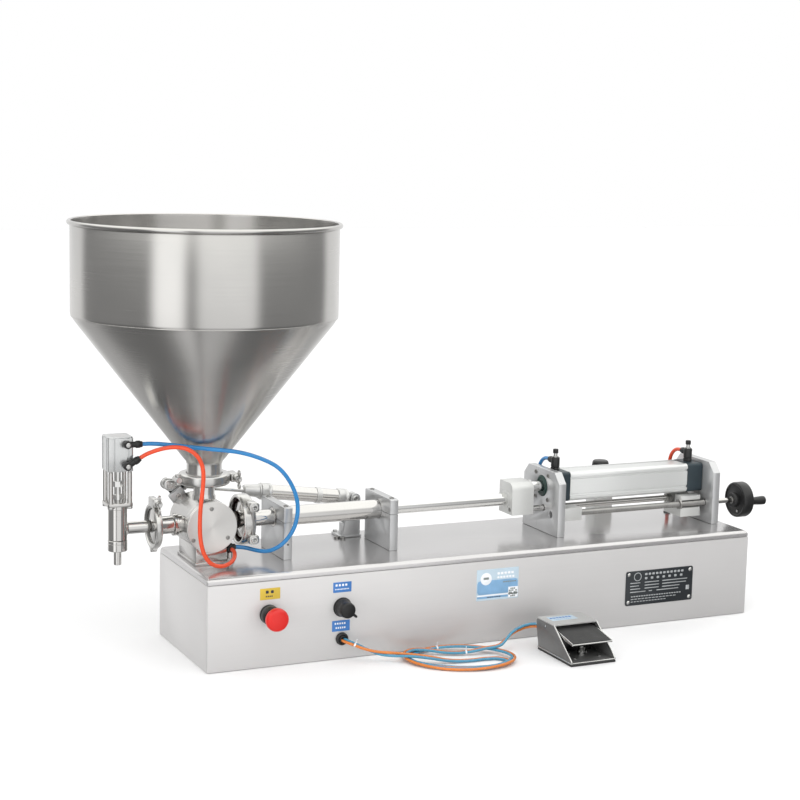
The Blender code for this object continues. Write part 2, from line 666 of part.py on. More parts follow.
# ---------------------------------------------------------------- piston, rods and coupling
def build_piston():
    line = at(0, LINE_Y, LINE_Z)
    piston = turned(
        "piston_rod",
        [(0.0, BLOCK_X0 + 0.0097), (PISTON_ROD_RADIUS, BLOCK_X0 + 0.0097),
         (PISTON_ROD_RADIUS, 0.3080), (PISTON_RADIUS, 0.3080), (PISTON_RADIUS, 0.2860),
         (0.0, 0.2860)],
        line, "X", CHROME, steps=28)

    block = outline(
        "coupling_block",
        [[(0.0925, 0.1655), (0.0925, 0.2060), (0.1020, 0.2155), (0.1330, 0.2155),
          (0.1350, 0.2135), (0.1350, 0.1655)]],
        BLOCK_X1 - BLOCK_X0, at((BLOCK_X0 + BLOCK_X1) / 2, 0, 0), "YZ", ALUMINIUM)
    sockets = [
        rod("block_piston_socket", at(BLOCK_X0 - 0.01, LINE_Y, LINE_Z),
            at(BLOCK_X0 + 0.010, LINE_Y, LINE_Z), PISTON_ROD_RADIUS + GAP, sides=28),
        rod("block_air_socket", at(BLOCK_X1 - 0.012, AIR_Y, AIR_Z),
            at(BLOCK_X1 + 0.01, AIR_Y, AIR_Z), AIR_ROD_RADIUS + GAP),
    ]
    cut(block, *sockets)

    air_rod = turned(
        "air_rod",
        [(0.0, 0.8120), (0.0158, 0.8120), (0.0158, 0.7970), (AIR_ROD_RADIUS, 0.7970),
         (AIR_ROD_RADIUS, BLOCK_X1 - 0.0117), (0.0, BLOCK_X1 - 0.0117)],
        at(0, AIR_Y, AIR_Z), "X", CHROME, steps=24)
    stop_rod = turned(
        "block_stop_rod",
        [(0.0, 0.8215), (STOP_RADIUS, 0.8215), (STOP_RADIUS, 0.8205), (0.0068, 0.8205),
         (0.0068, 0.8115), (STOP_RADIUS, 0.8115), (STOP_RADIUS, BLOCK_X1 - 0.0117),
         (0.0, BLOCK_X1 - 0.0117)],
        at(0, STOP_Y, STOP_Z), "X", steps=16)
    join(block, stop_rod)
    carry(pivot("piston_axis", line + Vector((BLOCK_X0, 0, 0))), piston, block, air_rod)


# ---------------------------------------------------------------- plates and air cylinder
def end_plate(name, x, holes):
    y0 = PLATE_Y0 - CABINET_DEPTH / 2
    y1 = PLATE_Y1 - CABINET_DEPTH / 2
    foot = CABINET_HEIGHT + GAP
    loop = [(y0, foot), (y0, PLATE_TOP - 0.016), (y0 + 0.015, PLATE_TOP),
            (y1 - 0.014, PLATE_TOP), (y1, PLATE_TOP - 0.015), (y1, foot)]
    rings = [circle(y - CABINET_DEPTH / 2, z, radius) for y, z, radius in holes]
    return outline(name, [loop, *rings], PLATE, Vector((at(x + PLATE / 2, 0, 0).x, 0, 0)), "YZ",
                   ALUMINIUM)


def build_drive():
    front_plate = end_plate("front_plate", FRONT_PLATE_X, [
        (AIR_Y, AIR_Z, 0.0165), (SCREW_Y, SCREW_Z, 0.0056), (STOP_Y, STOP_Z, 0.0052)])
    bearing = box("screw_bearing", at(FRONT_PLATE_X + PLATE - 0.002, 0.0720, 0.1550),
                  at(0.6360, 0.0960, 0.1750))
    bearing_bore = rod("screw_bearing_bore", at(0.59, SCREW_Y, SCREW_Z),
                       at(0.64, SCREW_Y, SCREW_Z), SCREW_RADIUS + 0.0004)
    cut(join(front_plate, bearing), bearing_bore)
    end_plate("rear_plate", REAR_PLATE_X, [(SCREW_Y, SCREW_Z, 0.0056)])

    front_cap_x0 = FRONT_PLATE_X + PLATE + GAP
    front_cap_x1 = 0.6237
    rear_cap_x0 = 0.8407
    low_y, high_y = AIR_Y - AIR_HALF, AIR_Y + AIR_HALF
    low_z, high_z = AIR_Z - AIR_HALF, AIR_Z + AIR_HALF
    front_cap = box("air_front_cap", at(front_cap_x0, low_y, low_z),
                    at(front_cap_x1, high_y, high_z), DARK_CAP, bevel=0.004, segments=2)
    boss = rod("air_front_boss", at(FRONT_PLATE_X + 0.0010, AIR_Y, AIR_Z),
               at(front_cap_x0 + 0.01, AIR_Y, AIR_Z), 0.0160)
    gland = rod("air_front_gland", at(0.57, AIR_Y, AIR_Z), at(0.64, AIR_Y, AIR_Z), 0.0083)
    cut(join(front_cap, boss), gland)

    y = AIR_Y - CABINET_DEPTH / 2
    r, g = AIR_HALF, 0.0025
    side = [(-0.017, 0.0), (-0.011, g), (-0.0065, g), (-0.0045, 0.0010), (0.0045, 0.0010),
            (0.0065, g), (0.011, g), (0.017, 0.0)]
    loop = []
    for quarter in range(4):
        turn = quarter * pi / 2
        for u, v in side + [(0.021, 0.0), (0.023, 0.002)]:
            a, b = u, v - r
            loop.append((y + a * cos(turn) - b * sin(turn), AIR_Z + a * sin(turn) + b * cos(turn)))
    length = rear_cap_x0 - front_cap_x1 - 2 * GAP
    middle = (rear_cap_x0 + front_cap_x1) / 2
    outline("air_profile", [loop, circle(y, AIR_Z, AIR_BORE, 28)], length,
            Vector((at(middle, 0, 0).x, 0, 0)), "YZ", ALUMINIUM)
    box("air_rear_cap", at(rear_cap_x0, low_y, low_z),
        at(REAR_PLATE_X - GAP, high_y, high_z), DARK_CAP, bevel=0.004, segments=2)

    for name, x in (("front_speed_valve", FRONT_FITTING_X), ("rear_speed_valve", REAR_FITTING_X)):
        foot_z = high_z + GAP
        valve = rod(name, at(x, AIR_Y, foot_z), at(x, AIR_Y, 0.2495), 0.0068, BLACK, sides=20)
        elbow = rod(name + "_elbow", at(x, AIR_Y, FITTING_Z),
                    at(x, AIR_Y + FITTING_REACH - GAP, FITTING_Z), 0.0052, sides=20)
        stem_hole = rod(name + "_stem_hole", at(x, AIR_Y, 0.2475), at(x, AIR_Y, 0.26), 0.0026,
                        sides=12)
        cut(join(valve, elbow), stem_hole)
        screw = turned(
            name + "_knob",
            [(0.0, 0.2620), (0.0038, 0.2620), (0.0042, 0.2610), (0.0042, 0.2500),
             (0.0022, 0.2500), (0.0022, 0.2480), (0.0, 0.2480)],
            at(x, AIR_Y, 0), "Z", BLACK, steps=16)
        carry(pivot(name + "_axis", at(x, AIR_Y, 0.2480)), screw)


# ---------------------------------------------------------------- stroke adjustment
def build_adjuster():
    screw = rod("adjusting_screw", at(0.6005, SCREW_Y, SCREW_Z), at(0.9430, SCREW_Y, SCREW_Z),
                SCREW_RADIUS, CAST, sides=20)
    cut(screw, box("screw_shank_flat", at(0.9285, SCREW_Y - 0.01, SCREW_Z + 0.0035),
                   at(0.9500, SCREW_Y + 0.01, SCREW_Z + 0.01)))

    wheel_x = 0.9285
    wheel = turned(
        "handwheel",
        [(0.0054, wheel_x + 0.0195), (0.0120, wheel_x + 0.0195), (0.0140, wheel_x + 0.0140),
         (0.0230, wheel_x + 0.0140), (0.0250, wheel_x + 0.0190), (0.0275, wheel_x + 0.0190),
         (WHEEL_RADIUS, wheel_x + 0.0170), (WHEEL_RADIUS, wheel_x + 0.0020),
         (0.0275, wheel_x), (0.0120, wheel_x), (0.0120, wheel_x - 0.0060),
         (0.0054, wheel_x - 0.0060)],
        at(0, SCREW_Y, SCREW_Z), "X", BLACK, steps=28, ring=True)
    grip_y = SCREW_Y - 0.0185
    spigot = rod("handwheel_spigot", at(wheel_x + 0.010, grip_y, SCREW_Z),
                 at(wheel_x + 0.0420, grip_y, SCREW_Z), 0.0030, sides=16)
    join(wheel, spigot)
    grip = turned(
        "crank_grip",
        [(0.0034, wheel_x + 0.0455), (0.0060, wheel_x + 0.0455), (0.0070, wheel_x + 0.0440),
         (0.0070, wheel_x + 0.0215), (0.0060, wheel_x + 0.0200), (0.0034, wheel_x + 0.0200)],
        at(0, grip_y, SCREW_Z), "X", BLACK, steps=24, ring=True)
    carry(pivot("handwheel_axis", at(wheel_x, SCREW_Y, SCREW_Z)), screw, wheel)
    carry(pivot("crank_grip_axis", at(wheel_x, grip_y, SCREW_Z)), grip)

    carriage = box("stop_carriage", at(0.8235, 0.0795, 0.1445), at(0.8605, 0.1280, 0.1780),
                   ALUMINIUM, bevel=0.0006)
    thread = rod("carriage_thread", at(0.80, SCREW_Y, SCREW_Z), at(0.88, SCREW_Y, SCREW_Z),
                 SCREW_RADIUS + 0.0004, sides=20)
    slot = box("carriage_slot", at(0.80, STOP_Y - 0.0085, STOP_Z - 0.0080),
               at(0.88, STOP_Y + 0.0085, 0.19))
    cut(carriage, thread, slot)
    carry(pivot("carriage_axis", at(0.8420, SCREW_Y, SCREW_Z)), carriage)


# ---------------------------------------------------------------- valve actuator
def build_actuator():
    pin = at(HOPPER_X + CRANK_LENGTH * cos(CRANK_ANGLE), ACTUATOR_Y,
             LINE_Z + CRANK_LENGTH * sin(CRANK_ANGLE))
    base = at(PIVOT_X, ACTUATOR_Y, PIVOT_Z)
    reach = hypot(pin.x - base.x, pin.z - base.z)
    tilt = atan2(pin.z - base.z, base.x - pin.x)

    def along(distance, side=0.0, up=0.0):
        """A point before tilting, at a distance from the rear pivot towards the crank."""
        return base + Vector((-distance, side, up))

    barrel = turned(
        "actuator_barrel",
        [(0.0, -0.0120), (0.0125, -0.0120), (0.0125, -0.0275), (0.0110, -0.0290),
         (0.0110, -0.1375), (0.0125, -0.1390), (0.0125, -0.1540), (0.0105, -0.1540),
         (0.0105, -0.1560), (0.0080, -0.1800), (0.0045, -0.1800), (0.0045, -0.1375),
         (0.0088, -0.1375), (0.0088, -0.0290), (0.0, -0.0290)],
        base, "X", ALUMINIUM, steps=20)
    eye = outline(
        "actuator_eye",
        [[(-0.016, -0.0075), *arc(0.0, 0.0, 0.0075, -90, 90, 10), (-0.016, 0.0075)]],
        0.0080, base, "XZ")
    eye_hole = rod("actuator_eye_hole", along(0, -0.01), along(0, 0.01), 0.0037, sides=16)
    cut(join(barrel, eye), eye_hole)

    back = reach - 0.2971
    plunger = turned(
        "actuator_rod",
        [(0.0, -0.1180), (0.0084, -0.1180), (0.0084, -0.1290), (0.0040, -0.1290),
         (0.0040, -0.2790 - back), (0.0, -0.2790 - back)],
        base, "X", CHROME, steps=20)
    fork = box("actuator_fork", along(reach + 0.0080, -0.0088, -0.0080),
               along(reach - 0.0225, 0.0088, 0.0080), bevel=0.001)
    slot = box("actuator_fork_slot", along(reach + 0.02, -0.0046, -0.02),
               along(reach - 0.0160, 0.0046, 0.02))
    cut(join(plunger, fork), slot)

    swing = pivot("actuator_axis", base)
    carry(swing, barrel, eye, eye_hole, plunger, fork, slot)
    swing.rotation_euler = (0.0, tilt, 0.0)

    ear_front, ear_rear = ACTUATOR_Y - 0.0088, ACTUATOR_Y + 0.0048
    bracket = box("actuator_bracket", at(0.2700, 0.1680, CABINET_HEIGHT + GAP),
                  at(0.3060, 0.2040, CABINET_HEIGHT + 0.0040), CABINET_STEEL)
    ears = [
        outline(
            "actuator_ear_%d" % i,
            [[(-0.0215, -0.0575), (0.0080, -0.0575), *arc(0.0, 0.0, 0.0080, 0, 180, 10)]],
            0.0040, at(PIVOT_X, y + 0.0020, PIVOT_Z), "XZ")
        for i, y in enumerate((ear_front, ear_rear))
    ]
    pin_rod = rod("actuator_pin", at(PIVOT_X, ear_front + 0.001, PIVOT_Z),
                  at(PIVOT_X, ear_rear + 0.003, PIVOT_Z), 0.0032, sides=16)
    join(bracket, *ears, pin_rod)


# ---------------------------------------------------------------- air regulator behind the cabinet
def build_regulator():
    x, y = REGULATOR_X, REGULATOR_Y
    body = box("regulator_body", at(x - 0.0170, y - 0.0170, 0.1250),
               at(x + 0.0170, y + 0.0170, 0.1690), BLACK, bevel=0.003, segments=2)
    bonnet = rod("regulator_bonnet", at(x, y, 0.165), at(x, y, 0.1850), 0.0120)
    bowl = rod("regulator_bowl", at(x, y, 0.0650), at(x, y, 0.1300), 0.0120, end_radius=0.0145)
    hanger = box("regulator_hanger", at(x - 0.012, CABINET_DEPTH + GAP, 0.0850),
                 at(x + 0.012, y - 0.0150, 0.1290))
    stem_hole = rod("regulator_stem_hole", at(x, y, 0.1800), at(x, y, 0.19), 0.0045, sides=16)
    cut(join(body, bonnet, bowl, hanger), stem_hole)
    knob = turned(
        "regulator_knob",
        [(0.0, 0.2125), (0.0120, 0.2125), (0.0142, 0.2100), (0.0142, 0.1856),
         (0.0040, 0.1856), (0.0040, 0.1805), (0.0, 0.1805)],
        at(x, y, 0), "Z", BLACK, steps=24)
    carry(pivot("regulator_axis", at(x, y, 0.1805)), knob)


# ---------------------------------------------------------------- foot pedal
def build_pedal():
    shift = CABINET_DEPTH / 2
    rear, toe = PEDAL_REAR_Y - shift, PEDAL_TOE_Y - shift
    centre_x = at((PEDAL_X0 + PEDAL_X1) / 2, 0, 0).x
    width = PEDAL_X1 - PEDAL_X0
    crest = -0.1010 - shift
    housing = outline(
        "pedal_housing",
        [[(rear, 0.0), (rear, 0.0060), (rear + PEDAL_OVERHANG, PEDAL_TOP - 0.004),
          (rear + PEDAL_OVERHANG - 0.004, PEDAL_TOP), (crest, PEDAL_TOP),
          (toe + 0.006, 0.0090), (toe, 0.0060), (toe, 0.0)]],
        width, Vector((centre_x, 0, 0)), "YZ", GREY_PAINT)
    sheet = 0.0025
    floor, ceiling, beyond = 0.0060, PEDAL_TOP - sheet, 0.06
    inside = outline(
        "pedal_inside",
        [[(rear - 0.010, floor), (rear - 0.010, ceiling), (crest, ceiling), (crest, beyond),
          (toe - 0.02, beyond), (toe - 0.02, floor)]],
        width - 2 * sheet, Vector((centre_x, 0, 0)), "YZ")
    cut(housing, inside)
    plunger = rod("pedal_plunger", at((PEDAL_X0 + PEDAL_X1) / 2, -0.1180, 0.0040),
                  at((PEDAL_X0 + PEDAL_X1) / 2, -0.1180, 0.0180), 0.0045, sides=20)
    hinge_y, hinge_z = -0.0760, 0.0390
    pin = rod("pedal_pin", at(PEDAL_X0 + 0.001, hinge_y, hinge_z),
              at(PEDAL_X1 - 0.001, hinge_y, hinge_z), 0.0016, sides=12)
    join(housing, plunger, pin)
    half = width / 2 - sheet - 0.0008
    tread = outline(
        "pedal_tread",
        [[*arc(hinge_y - shift, hinge_z, 0.0038, -90, 90, 8), (-0.0960 - shift, hinge_z + 0.0015),
          (-0.1460 - shift, 0.0315), (-0.1480 - shift, 0.0300), (-0.1460 - shift, 0.0285),
          (-0.0960 - shift, hinge_z - 0.0010)]],
        2 * half, Vector((centre_x, 0, 0)), "YZ", GREY_PAINT)
    tread_bore = rod("pedal_tread_bore", at(PEDAL_X0, hinge_y, hinge_z),
                     at(PEDAL_X1, hinge_y, hinge_z), 0.0020, sides=12)
    cut(tread, tread_bore)
    carry(pivot("pedal_axis", at((PEDAL_X0 + PEDAL_X1) / 2, hinge_y, hinge_z)), tread)


# ---------------------------------------------------------------- hoses
def falling_route(x):
    """Stations of a hose that leaves a fitting rearwards, turns down and enters the cover."""
    bend_y = AIR_Y + FITTING_REACH + HOSE_STUB
    arch = [(x, bend_y + HOSE_BEND * sin(radians(a)), FITTING_Z - HOSE_BEND * (1 - cos(radians(a))))
            for a in (0, 22, 45, 68, 90)]
    return [(x, AIR_Y + FITTING_REACH, FITTING_Z), *arch, (x, HOSE_DROP_Y, 0.1980),
            (x, HOSE_DROP_Y, 0.1750), (x, HOSE_DROP_Y, 0.1200)]


def build_hoses():
    outlets = box("hose_outlet_block", at(0.0590, 0.0850, CABINET_HEIGHT + GAP),
                  at(0.0730, 0.1050, 0.1600), BLACK, bevel=0.0015)
    cut(outlets, rod("outlet_block_cross_hole", at(0.066, 0.07, 0.1400), at(0.066, 0.12, 0.1400),
                     0.0020, sides=12))
    hose("nozzle_hose_blue", [
        (-0.0652, 0.0892, 0.3110), (-0.0540, 0.0890, 0.3109), (-0.0380, 0.0862, 0.3098),
        (-0.0180, 0.0780, 0.3080), (0.0050, 0.0660, 0.3058), (0.0300, 0.0560, 0.3035),
        (0.0600, 0.0500, 0.2995), (0.0900, 0.0455, 0.2905), (0.1200, 0.0430, 0.2740),
        (0.1410, 0.0430, 0.2460), (0.1500, 0.0445, 0.2150), (0.1450, 0.0470, 0.1840),
        (0.1300, 0.0540, 0.1610), (0.1140, 0.0680, 0.1495), (0.1000, 0.0820, 0.1490),
        (0.0880, 0.0908, 0.1514), (0.0743, 0.0940, 0.1530)], BLUE_HOSE)
    hose("nozzle_hose_orange", [
        (-0.0683, 0.0892, 0.2914), (-0.0600, 0.0882, 0.2962), (-0.0440, 0.0800, 0.3035),
        (-0.0270, 0.0670, 0.3082), (-0.0110, 0.0560, 0.3065), (0.0005, 0.0495, 0.2980),
        (0.0070, 0.0470, 0.2860), (0.0095, 0.0465, 0.2700), (0.0085, 0.0470, 0.2480),
        (0.0060, 0.0470, 0.2258), (0.0050, 0.0470, 0.2006), (0.0060, 0.0460, 0.1780),
        (0.0110, 0.0445, 0.1580), (0.0210, 0.0435, 0.1445), (0.0345, 0.0440, 0.1395),
        (0.0475, 0.0480, 0.1405), (0.0580, 0.0560, 0.1445), (0.0640, 0.0670, 0.1490),
        (0.0660, 0.0770, 0.1515), (0.0660, 0.0847, 0.1520)], ORANGE_HOSE)
    hose("cylinder_hose_blue", falling_route(FRONT_FITTING_X), BLUE_HOSE)
    hose("cylinder_hose_orange", falling_route(REAR_FITTING_X), ORANGE_HOSE)

    hose("pedal_hoses_lead", [
        (GROMMET_X, -0.0054, GROMMET_Z), (GROMMET_X + 0.0005, -0.0100, 0.0299),
        (0.2062, -0.0172, 0.0288), (0.2130, -0.0225, 0.0262), (0.2240, -0.0262, 0.0210),
        (0.2370, -0.0295, 0.0150), (0.2500, -0.0335, 0.0105), (0.2640, -0.0395, 0.0087),
        (0.2766, -0.0470, 0.0088)], TWIN_HOSE, radius=PAIR_RADIUS)
    hose("pedal_hoses_tail", [
        (0.4292, -0.0548, 0.0118), (0.4370, -0.0505, 0.0142), (0.4475, -0.0440, 0.0185),
        (0.4600, -0.0375, 0.0230), (0.4730, -0.0335, 0.0262), (0.4850, -0.0325, 0.0285),
        (0.4955, -0.0352, 0.0298), (0.5020, -0.0415, 0.0300), (0.5045, -0.0492, 0.0300)],
        TWIN_HOSE, radius=PAIR_RADIUS)

    skew = radians(COIL_SKEW)
    oval = []
    for step in range(32):
        turn = 2 * pi * step / 32
        along, across = COIL_LENGTH / 2 * cos(turn), COIL_WIDTH / 2 * sin(turn)
        oval.append((along * cos(skew) + across * sin(skew),
                     across * cos(skew) - along * sin(skew)))
    coil = outline("pedal_hoses_coil", [oval], COIL_HEIGHT, at(*COIL_CENTRE), "XY", TWIN_HOSE)
    coil.rotation_euler = (radians(COIL_TILT), 0.0, 0.0)


build_cabinet()
build_controls()
build_hopper()
build_valve()
build_outlet()
build_nozzle()
build_metering()
build_piston()
build_drive()
build_adjuster()
build_actuator()
build_regulator()
build_pedal()
build_hoses()
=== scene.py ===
"""Finished look of the pneumatic piston filler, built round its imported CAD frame.

Stations are metres from the cabinet's left end (x), front panel (y) and underside (z).
"""
from math import atan2, ceil, cos, hypot, pi, radians, sin

import bmesh
import bpy
from mathutils import Matrix, Vector


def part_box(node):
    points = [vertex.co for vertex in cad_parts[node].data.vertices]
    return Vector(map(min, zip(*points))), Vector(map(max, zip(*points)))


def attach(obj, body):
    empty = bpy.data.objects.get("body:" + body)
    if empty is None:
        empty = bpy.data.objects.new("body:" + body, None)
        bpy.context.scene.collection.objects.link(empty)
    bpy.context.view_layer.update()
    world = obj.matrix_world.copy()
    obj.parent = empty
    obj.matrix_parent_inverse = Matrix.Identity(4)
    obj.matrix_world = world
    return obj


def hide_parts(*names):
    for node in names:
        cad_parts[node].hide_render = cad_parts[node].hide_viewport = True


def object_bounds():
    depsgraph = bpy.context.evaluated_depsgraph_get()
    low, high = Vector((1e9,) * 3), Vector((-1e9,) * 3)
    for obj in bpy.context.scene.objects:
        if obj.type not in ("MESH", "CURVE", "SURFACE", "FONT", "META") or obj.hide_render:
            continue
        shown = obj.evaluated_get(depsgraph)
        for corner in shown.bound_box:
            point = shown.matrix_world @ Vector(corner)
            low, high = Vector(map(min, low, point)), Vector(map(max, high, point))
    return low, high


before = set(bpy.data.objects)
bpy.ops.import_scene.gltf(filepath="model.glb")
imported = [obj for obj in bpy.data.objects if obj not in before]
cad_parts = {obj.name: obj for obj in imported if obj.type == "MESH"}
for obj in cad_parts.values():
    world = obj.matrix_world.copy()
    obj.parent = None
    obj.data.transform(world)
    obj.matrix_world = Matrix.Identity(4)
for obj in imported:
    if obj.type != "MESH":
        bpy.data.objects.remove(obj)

CAD_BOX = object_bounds()
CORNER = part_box("cabinet_body")[0]
CABINET_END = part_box("cabinet_lid")[1] - CORNER      # length, depth and height
SCENE = bpy.context.scene


def at(x, y, z):
    """A point of the row frame from stations along the cabinet."""
    return CORNER + Vector((x, y, z))


def reach(node):
    """Lowest and highest stations of a CAD node."""
    low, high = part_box(node)
    return low - CORNER, high - CORNER


# ---------------------------------------------------------------- camera
YAW, PITCH, ROLL = radians(25.382), radians(8.829), radians(1.330)
ahead = Vector((sin(YAW) * cos(PITCH), cos(YAW) * cos(PITCH), -sin(PITCH)))
level = Vector((cos(YAW), -sin(YAW), 0.0))
overhead = level.cross(ahead)
right = level * cos(ROLL) + overhead * sin(ROLL)
up = overhead * cos(ROLL) - level * sin(ROLL)

lens = bpy.data.cameras.new("camera")
lens.lens = 82.08
lens.sensor_width = 36.0
lens.clip_start, lens.clip_end = 0.05, 50.0
camera = bpy.data.objects.new("camera", lens)
SCENE.collection.objects.link(camera)
camera.matrix_world = Matrix.Translation(at(-0.8081, -2.3049, 0.7664)) @ Matrix(
    (right, up, -ahead)).transposed().to_4x4()
SCENE.camera = camera
SCENE.view_settings.view_transform = "Standard"


# ---------------------------------------------------------------- materials
class Nodes:
    """Adds linked shader nodes to a tree."""

    def __init__(self, tree):
        self.tree = tree

    def add(self, kind, settings=None, **inputs):
        node = self.tree.nodes.new(kind)
        for key, value in (settings or {}).items():
            setattr(node, key, value)
        for key, value in inputs.items():
            socket = node.inputs[int(key[1:])] if key[1:].isdigit() else node.inputs[key.replace("_", " ")]
            if isinstance(value, bpy.types.NodeSocket):
                self.tree.links.new(value, socket)
            else:
                socket.default_value = value
        return node


def surface(name, colour, roughness, metallic=0.0, grain=(60, 60, 60), tone=0.05, spread=0.06,
            bump=0.03, mottle=0.04, mottle_scale=9.0, coat=0.0, spin=None, anisotropic=0.0,
            grain_depth=0.0004, subsurface=0.0, second=None):
    """A procedural finish: fine grain along one direction, and slow smudges over it."""
    made = bpy.data.materials.new(name)
    made.use_nodes = True
    tree = made.node_tree
    n = Nodes(tree)
    shader = tree.nodes["Principled BSDF"]
    place = n.add("ShaderNodeTexCoord").outputs["Object"]
    stretched = n.add("ShaderNodeMapping", i0=place, Scale=grain).outputs[0]
    fine = n.add("ShaderNodeTexNoise", Vector=stretched, Scale=1.0, Detail=5.0,
                 Roughness=0.6).outputs["Fac"]
    slow = n.add("ShaderNodeTexNoise", Vector=place, Scale=mottle_scale, Detail=3.0,
                 Roughness=0.55).outputs["Fac"]
    shade = n.add("ShaderNodeMapRange", Value=fine, i3=1.0 - tone, i4=1.0 + tone).outputs[0]
    cloud = n.add("ShaderNodeMapRange", Value=slow, i1=0.3, i2=0.7, i3=1.0 - mottle,
                  i4=1.0 + mottle).outputs[0]
    both = n.add("ShaderNodeMath", {"operation": "MULTIPLY"}, i0=shade, i1=cloud).outputs[0]
    base = n.add("ShaderNodeMix", {"data_type": "RGBA"}, i0=slow, i6=(*colour, 1.0),
                 i7=(*(second or colour), 1.0)).outputs[2]
    toned = n.add("ShaderNodeVectorMath", {"operation": "SCALE"}, i0=base, Scale=both).outputs[0]
    rough = n.add("ShaderNodeMapRange", Value=fine, i3=max(roughness - spread, 0.02),
                  i4=roughness + spread).outputs[0]
    smear = n.add("ShaderNodeMath", {"operation": "MULTIPLY", "use_clamp": True},
                  i0=rough, i1=cloud).outputs[0]
    ridge = n.add("ShaderNodeBump", Strength=bump, Distance=grain_depth, Height=fine).outputs[0]
    for socket, value in (("Base Color", toned), ("Roughness", smear), ("Normal", ridge)):
        tree.links.new(value, shader.inputs[socket])
    shader.inputs["Metallic"].default_value = metallic
    shader.inputs["Coat Weight"].default_value = coat
    shader.inputs["Coat Roughness"].default_value = 0.12
    shader.inputs["Subsurface Weight"].default_value = subsurface
    if anisotropic:
        shader.inputs["Anisotropic"].default_value = anisotropic
        shader.inputs["Anisotropic Rotation"].default_value = 0.25
        tangent = n.add("ShaderNodeTangent", {"direction_type": "RADIAL", "axis": spin})
        tree.links.new(tangent.outputs[0], shader.inputs["Tangent"])
    return made


def lathed(name, axis, colour=(0.62, 0.61, 0.595), roughness=0.13, **extra):
    """Steel turned or brushed round an axis."""
    grain = [6.0, 6.0, 6.0]
    grain["XYZ".index(axis)] = 900.0
    return surface(name, colour, roughness, 1.0, tuple(grain), tone=0.06, spread=0.05, bump=0.05,
                   grain_depth=0.0001, **extra)


